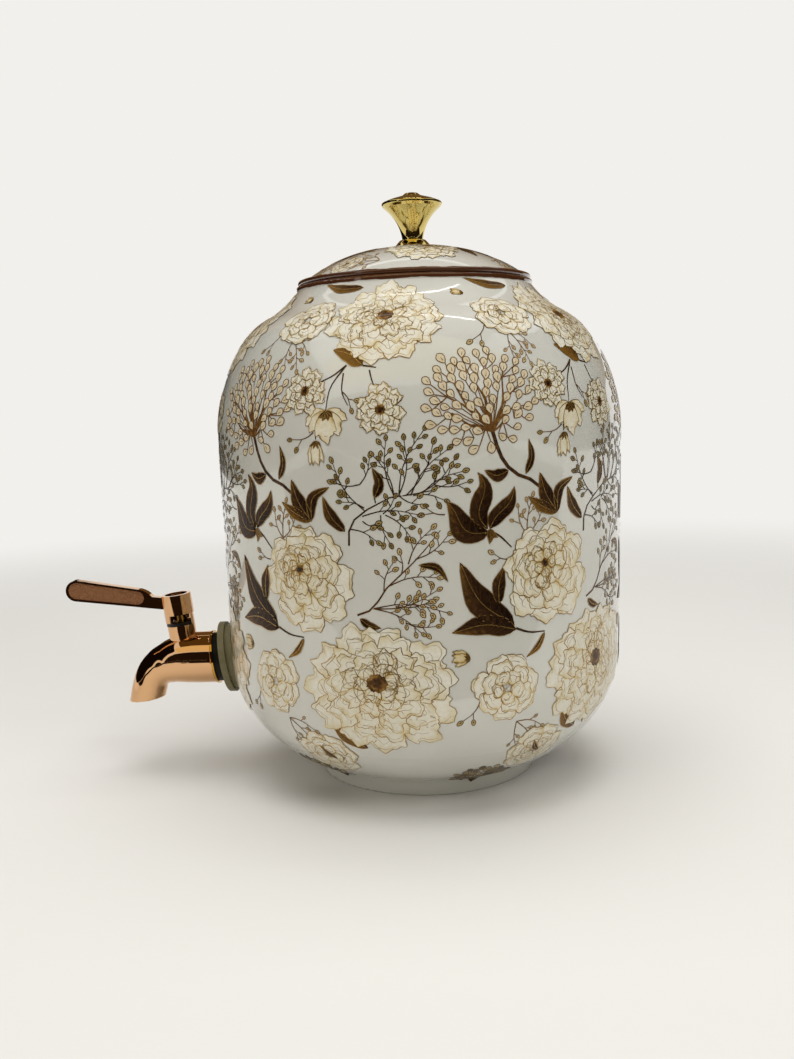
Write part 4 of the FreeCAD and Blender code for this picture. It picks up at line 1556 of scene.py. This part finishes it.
LID_TILE = (
    Flower(PEONY, (31, 4), 17.5, 1.05, (-2, 3), 6.5), Leaf((14, 22), (21, 40), 9),
    Leaf((14, 22), (33, 31), 8, -0.1), Leaf((14, 22), (4, 34), 7, 0.1, 0.3),
    *spray((14, 22), 105, 19), *spray((46, -16), 235, 14), *spray((20, 40), 40, 13),
    Leaf((16, -17), (26, -26), 5, 0.1, 0.4), pair_of_berries((17, -8), (13, -14)),
    Flower(CUP_ROSE, (38, -32), 8.5, level=5.4))


class Decoration:
    """A printed surface: the motifs of one tile, repeated round it, as thin films of ink."""

    def __init__(self, name: str, body: str, press: Press) -> None:
        """Names the print.

        Args:
            name: Start of its pieces' names.
            body: The body that carries it.
            press: The press, set up for its surface.
        """
        self.name = name
        self.body = body
        self.press = press

    def repeat(self, tile: tuple[Motif, ...], copies: list[Place],
               filler: Place | None = None) -> None:
        """Prints a tile at each of its places.

        Args:
            tile: The tile's motifs.
            copies: Where the tile goes.
            filler: Where its left half alone goes, to close the last gap.
        """
        for copy in copies:
            self.press.copy = copy
            for motif in tile:
                motif.draw(self.press)
        if filler:
            self.press.copy = filler
            for motif in tile:
                if motif.root[0] < 0:
                    motif.draw(self.press)

    def pieces(self) -> None:
        """Makes one piece of each ink's patches."""
        for ink, patches in self.press.plates.items():
            if not patches:
                continue
            starts = np.cumsum([0] + [len(patch[0]) for patch in patches[:-1]])
            points = np.vstack([patch[0] for patch in patches])
            faces = np.vstack([patch[3] + start for patch, start in zip(patches, starts)])
            mesh = bpy.data.meshes.new(f"{self.name}_{ink.value}")
            mesh.from_pydata(points.tolist(), [], faces.tolist())
            tone = mesh.attributes.new("tone", "FLOAT", "POINT")
            tone.data.foreach_set("value", np.concatenate([patch[2] for patch in patches]))
            mesh.shade_smooth()
            mesh.normals_split_custom_set_from_vertices(
                np.vstack([patch[1] for patch in patches]).tolist())
            mesh.materials.append(INKS[ink].material())
            piece = bpy.data.objects.new(mesh.name, mesh)
            bpy.context.scene.collection.objects.link(piece)
            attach(piece, self.body)
            LOG.info("printed %s: %d faces", piece.name, len(faces))


@dataclass(frozen=True)
class PrintedInk(Finish):
    """Overglaze ink fired onto the pot: flat under the same gloss, mottled where it ran thin."""
    middle: str = "808080"
    deep: str = "202020"
    mottle: float = 0.18
    mottle_grain: float = 1.6
    mottle_detail: float = 3.0

    def pattern(self, tree: bpy.types.NodeTree, shader: bpy.types.Node) -> None:
        """Grades the ink by its tone and mottles it.

        Args:
            tree: The material's node tree.
            shader: The shader node.
        """
        tone = add_node(tree, "Attribute", attribute_name="tone").outputs["Fac"]
        cloud = clouds(tree, self.mottle_grain, -self.mottle, self.mottle, self.mottle_detail)
        tone = add_node(tree, "Math", {0: tone, 1: cloud}, operation="ADD").outputs[0]
        graded = self.colour
        for start, end, colour in ((0.0, 0.5, self.middle), (0.5, 1.0, self.deep)):
            share = add_node(tree, "MapRange", {"Value": tone, "From Min": start,
                                                "From Max": end}).outputs[0]
            graded = add_node(tree, "MixRGB", {0: share, 1: graded, 2: colour}).outputs[0]
        tree.links.new(graded, shader.inputs["Base Color"])
        self.relief(tree, shader, noise(tree, GLOSS_WAVE), GLOSS_WAVE_DEPTH)


INKS = {
    # Petals: opaque cream that turns golden towards their base and their edge.
    Ink.PETAL: PrintedInk("petal_ink", "DFDBCC", 0.3, coat=0.5, specular=0.3, middle="D3C7A4",
                          deep="B8994F", mottle=0.12),
    # Leaves: nearly black, and golden brown where the light would fall on them.
    Ink.LEAF: PrintedInk("leaf_ink", "180A04", 0.35, coat=0.15, specular=0.1, middle="38220F",
                         deep="75521C"),
    # Berries and florets: tan with a dull gloss, darker the more of their tone they are given.
    Ink.BERRY: PrintedInk("berry_ink", "CFC2A4", 0.35, coat=0.2, specular=0.2, middle="A8925C",
                          deep="665628", mottle=0.1),
    # Lines: metallic gold that turns from pale to brown as the light changes.
    Ink.GOLD: PrintedInk("gold_ink", "D9C282", 0.3, metallic=0.7, middle="A98442",
                         deep="6E4E1E", mottle=0.25),
    # Stalks and outlines of berries: a plain brown without a sparkle.
    Ink.BROWN: PrintedInk("brown_ink", "22150A", 0.35, coat=0.2, specular=0.2, middle="66441C",
                          deep="A37C3C"),
}


@dataclass(frozen=True)
class PotPrint:
    """The prints of the pot's side and of its lid."""
    pitch: float = 112.6
    sheet_radius: float = 100.0
    side_repeats: int = 5
    side_seed: int = 11
    lid_repeats: int = 3
    lid_seed: int = 23

    def build(self) -> None:
        """Prints the pot's side, then the lid, each along its outline of radius and height."""
        stamps = Stamps()
        side = Outline(55.2, 0).line(57, 7.8).arc(87.5, 29.5, 18).arc(98.2, 61)
        side.line(100, 168).arc(87.3, 213.3).arc(73.3, 226.5).arc(58.3, 239.6)
        press = Press(Skin(side, self.sheet_radius), stamps, self.side_seed)
        reach = self.side_repeats // 2
        decoration = Decoration("pot_print", "pot", press)
        decoration.repeat(POT_TILE, [Place(x=self.pitch * number)
                                     for number in range(-reach, reach + 1)],
                          Place(x=self.pitch * (reach + 1)))
        decoration.pieces()
        dome = Outline(54, 245.0).arc(35, 255.2, 144).arc(9.6, 259.9)
        press = Press(Crown(dome, self.sheet_radius), stamps, self.lid_seed)
        decoration = Decoration("lid_print", "lid", press)
        decoration.repeat(LID_TILE, [Place(turn=360 / self.lid_repeats * number)
                                     for number in range(self.lid_repeats)])
        decoration.pieces()


# ---- Studio ----------------------------------------------------------------------------------
@dataclass(frozen=True)
class Card:
    """A panel that only the gloss sees: the dark and the warm sides of a room.

    It glows with its own colour, as a painted reflection of the room, and casts no shadow.
    It stands upright and faces the pot, or lies level with its height running towards the camera.
    """
    name: str
    middle: tuple[float, float, float]
    width: float
    height: float
    colour: str
    lying: bool = False


@dataclass(frozen=True)
class Lamp:
    """A soft rectangular lamp aimed at the pot, with its power in watts.

    Mirrored is whether the gloss shows it, and along is the way its width runs, seen from above.
    """
    name: str
    middle: tuple[float, float, float]
    width: float
    height: float
    power: float
    colour: str = "FFFFFF"
    mirrored: bool = False
    along: Point = (0.0, 1.0)


@dataclass(frozen=True)
class Studio:
    """Pale sweep, soft lamps, reflection cards and the camera."""
    # The floor turns to plain paper between the near and the far distance.
    sweep_radius: float = 6000.0
    sweep_sides: int = 64
    sweep_near: float = 450.0
    sweep_far: float = 1100.0
    # The plain background, and the even light that fills the room.
    paper: str = "F2F0EC"
    ambient: str = "F6F5F2"
    ambient_strength: float = 0.36
    # The camera's distance and height, its turns in degrees, its lens and its sensor.
    camera_distance: float = 541.0
    camera_height: float = 189.0
    pitch: float = 7.22
    yaw: float = 1.32
    roll: float = -1.89
    lens: float = 36.29
    sensor: float = 36.0
    # A key from the right, a fill from the left, a top light, and two strips that draw the
    # sharp highlights on the gloss. They all point at one height of the pot's axis.
    lamps: tuple[Lamp, ...] = (
        Lamp("key_lamp", (900, 900, 1100), 900, 500, 4.8),
        Lamp("fill_lamp", (1000, -1000, 700), 900, 600, 3.0, "FFF6EA"),
        Lamp("top_lamp", (0, 0, 1500), 1400, 1400, 17.5),
        Lamp("tube_lamp", (-225, 115, 1650), 880, 46, 0.9, mirrored=True, along=(0.26, 0.97)),
        Lamp("window_lamp", (1025, 715, 1120), 460, 40, 0.25, mirrored=True, along=(-0.88, 0.47)),
    )
    lamp_aim: float = 130.0
    # Glowing panels as painted reflections of the room: dark before the pot, on the floor before it
    # and at its sides, warm and bright high up before it, and dim brown behind it and overhead.
    cards: tuple[Card, ...] = (
        Card("front_card", (1500, 0, 560), 3600, 1100, "241A12"),
        Card("near_floor_card", (860, 685, 4), 1830, 1280, "241A12", True),
        Card("far_floor_card", (900, -915, 4), 1370, 1200, "241A12", True),
        Card("upper_card", (1490, 0, 1800), 3600, 1400, "F2E2AE", True),
        Card("left_card", (-500, -1500, 955), 4000, 1900, "120C08"),
        Card("right_card", (0, 1500, 900), 2600, 1700, "2A2018"),
        Card("back_card", (-1500, 0, 1350), 3600, 1700, "6B5232"),
        Card("ceiling_card", (100, 0, 2300), 2800, 3000, "5A4520", True),
    )

    def build(self) -> None:
        """Makes the sweep, the lamps, the cards, the world and the camera."""
        self.sweep()
        for lamp in self.lamps:
            self.lamp(lamp)
        for card in self.cards:
            self.card(card)
        self.world()
        self.camera()

    def seen(self, tree: bpy.types.NodeTree) -> bpy.types.NodeSocket:
        """A share that is 1 for what the camera, the gloss and clear things see.

        Args:
            tree: A material's or the world's node tree.
        Returns:
            The share's output.
        """
        path = add_node(tree, "LightPath")
        share = path.outputs["Is Camera Ray"]
        for ray in ("Is Glossy Ray", "Is Transmission Ray"):
            share = add_node(tree, "Math", {0: share, 1: path.outputs[ray]},
                             operation="MAXIMUM").outputs[0]
        return share

    def sweep(self) -> None:
        """Adds the floor, a disc that turns to plain background far from the pot."""
        deselect()
        bpy.ops.mesh.primitive_circle_add(vertices=self.sweep_sides,
                                          radius=mm(self.sweep_radius), fill_type="NGON")
        floor = bpy.context.object
        floor.name = "studio_floor"
        material = STUDIO_PAPER.material()
        tree = material.node_tree
        place = add_node(tree, "TexCoord").outputs["Object"]
        reach = add_node(tree, "VectorMath", {0: place}, operation="LENGTH").outputs["Value"]
        far = add_node(tree, "MapRange", {"Value": reach, "From Min": mm(self.sweep_near),
                                          "From Max": mm(self.sweep_far)},
                       interpolation_type="SMOOTHSTEP").outputs[0]
        share = add_node(tree, "Math", {0: far, 1: self.seen(tree)}, operation="MULTIPLY")
        plain = add_node(tree, "Emission", {"Color": self.paper})
        mixed = add_node(tree, "MixShader", {
            0: share.outputs[0], 1: tree.nodes["Principled BSDF"].outputs[0],
            2: plain.outputs[0]})
        tree.links.new(mixed.outputs[0], tree.nodes["Material Output"].inputs["Surface"])
        floor.data.materials.append(material)

    def card(self, card: Card) -> None:
        """Adds one reflection card.

        Args:
            card: The card.
        """
        deselect()
        middle = Vector([mm(part) for part in card.middle])
        aim = Vector((0, 0, 1)) if card.lying else Vector((middle.x, middle.y, 0))
        size = (card.height, card.width) if card.lying else (card.width, card.height)
        bpy.ops.mesh.primitive_plane_add(size=1.0)
        panel = bpy.context.object
        panel.name = card.name
        turn = aim.to_track_quat("Z", "Y").to_matrix().to_4x4()
        panel.data.transform(Matrix.Translation(middle) @ turn
                             @ Matrix.Diagonal((mm(size[0]), mm(size[1]), 1, 1)))
        material = bpy.data.materials.new(card.name)
        material.use_nodes = True
        tree = material.node_tree
        tree.nodes.clear()
        glow = add_node(tree, "Emission", {"Color": card.colour})
        add_node(tree, "OutputMaterial", {"Surface": glow.outputs[0]})
        panel.data.materials.append(material)
        panel.visible_camera = False
        panel.visible_diffuse = False
        panel.visible_shadow = False

    def lamp(self, lamp: Lamp) -> None:
        """Adds one lamp.

        Args:
            lamp: The lamp.
        """
        centre = Vector([mm(part) for part in lamp.middle])
        back = (centre - Vector((0, 0, mm(self.lamp_aim)))).normalized()
        across = Vector((*lamp.along, 0))
        across = (across - back * across.dot(back)).normalized()
        turn = Matrix((across, back.cross(across), back)).transposed()
        bpy.ops.object.light_add(type="AREA", location=centre, rotation=turn.to_euler())
        light = bpy.context.object
        light.name = lamp.name
        light.visible_glossy = lamp.mirrored
        light.data.shape = "RECTANGLE"
        light.data.size = mm(lamp.width)
        light.data.size_y = mm(lamp.height)
        light.data.energy = lamp.power
        light.data.color = linear(lamp.colour)[:3]

    def world(self) -> None:
        """Lights the scene evenly, and shows the plain background where it is looked at."""
        world = bpy.data.worlds.new("studio_world")
        bpy.context.scene.world = world
        world.use_nodes = True
        tree = world.node_tree
        tree.nodes.clear()
        ambient = add_node(tree, "Background", {"Color": self.ambient,
                                                "Strength": self.ambient_strength})
        shown = add_node(tree, "Background", {"Color": self.paper})
        mixed = add_node(tree, "MixShader", {0: self.seen(tree), 1: ambient.outputs[0],
                                             2: shown.outputs[0]})
        add_node(tree, "OutputWorld", {"Surface": mixed.outputs[0]})

    def camera(self) -> None:
        """Sets the camera before the printed side, at the shoulder's height and looking down."""
        turn = (Matrix.Rotation(math.radians(90 + self.yaw), 4, "Z")
                @ Matrix.Rotation(math.radians(90 - self.pitch), 4, "X")
                @ Matrix.Rotation(math.radians(self.roll), 4, "Z"))
        place = (mm(self.camera_distance), 0, mm(self.camera_height))
        bpy.ops.object.camera_add(location=place, rotation=turn.to_euler())
        camera = bpy.context.object
        camera.name = "view_camera"
        camera.data.lens = self.lens
        camera.data.sensor_width = self.sensor
        bpy.context.scene.camera = camera


def main() -> None:
    """Builds the studio and the pot."""
    logging.basicConfig(level=logging.INFO, format="%(message)s")
    bpy.context.scene.view_settings.view_transform = "Standard"
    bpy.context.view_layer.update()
    Studio().build()
    dress_nodes()
    Tap().build()
    PotPrint().build()


if __name__ == "__main__":
    main()
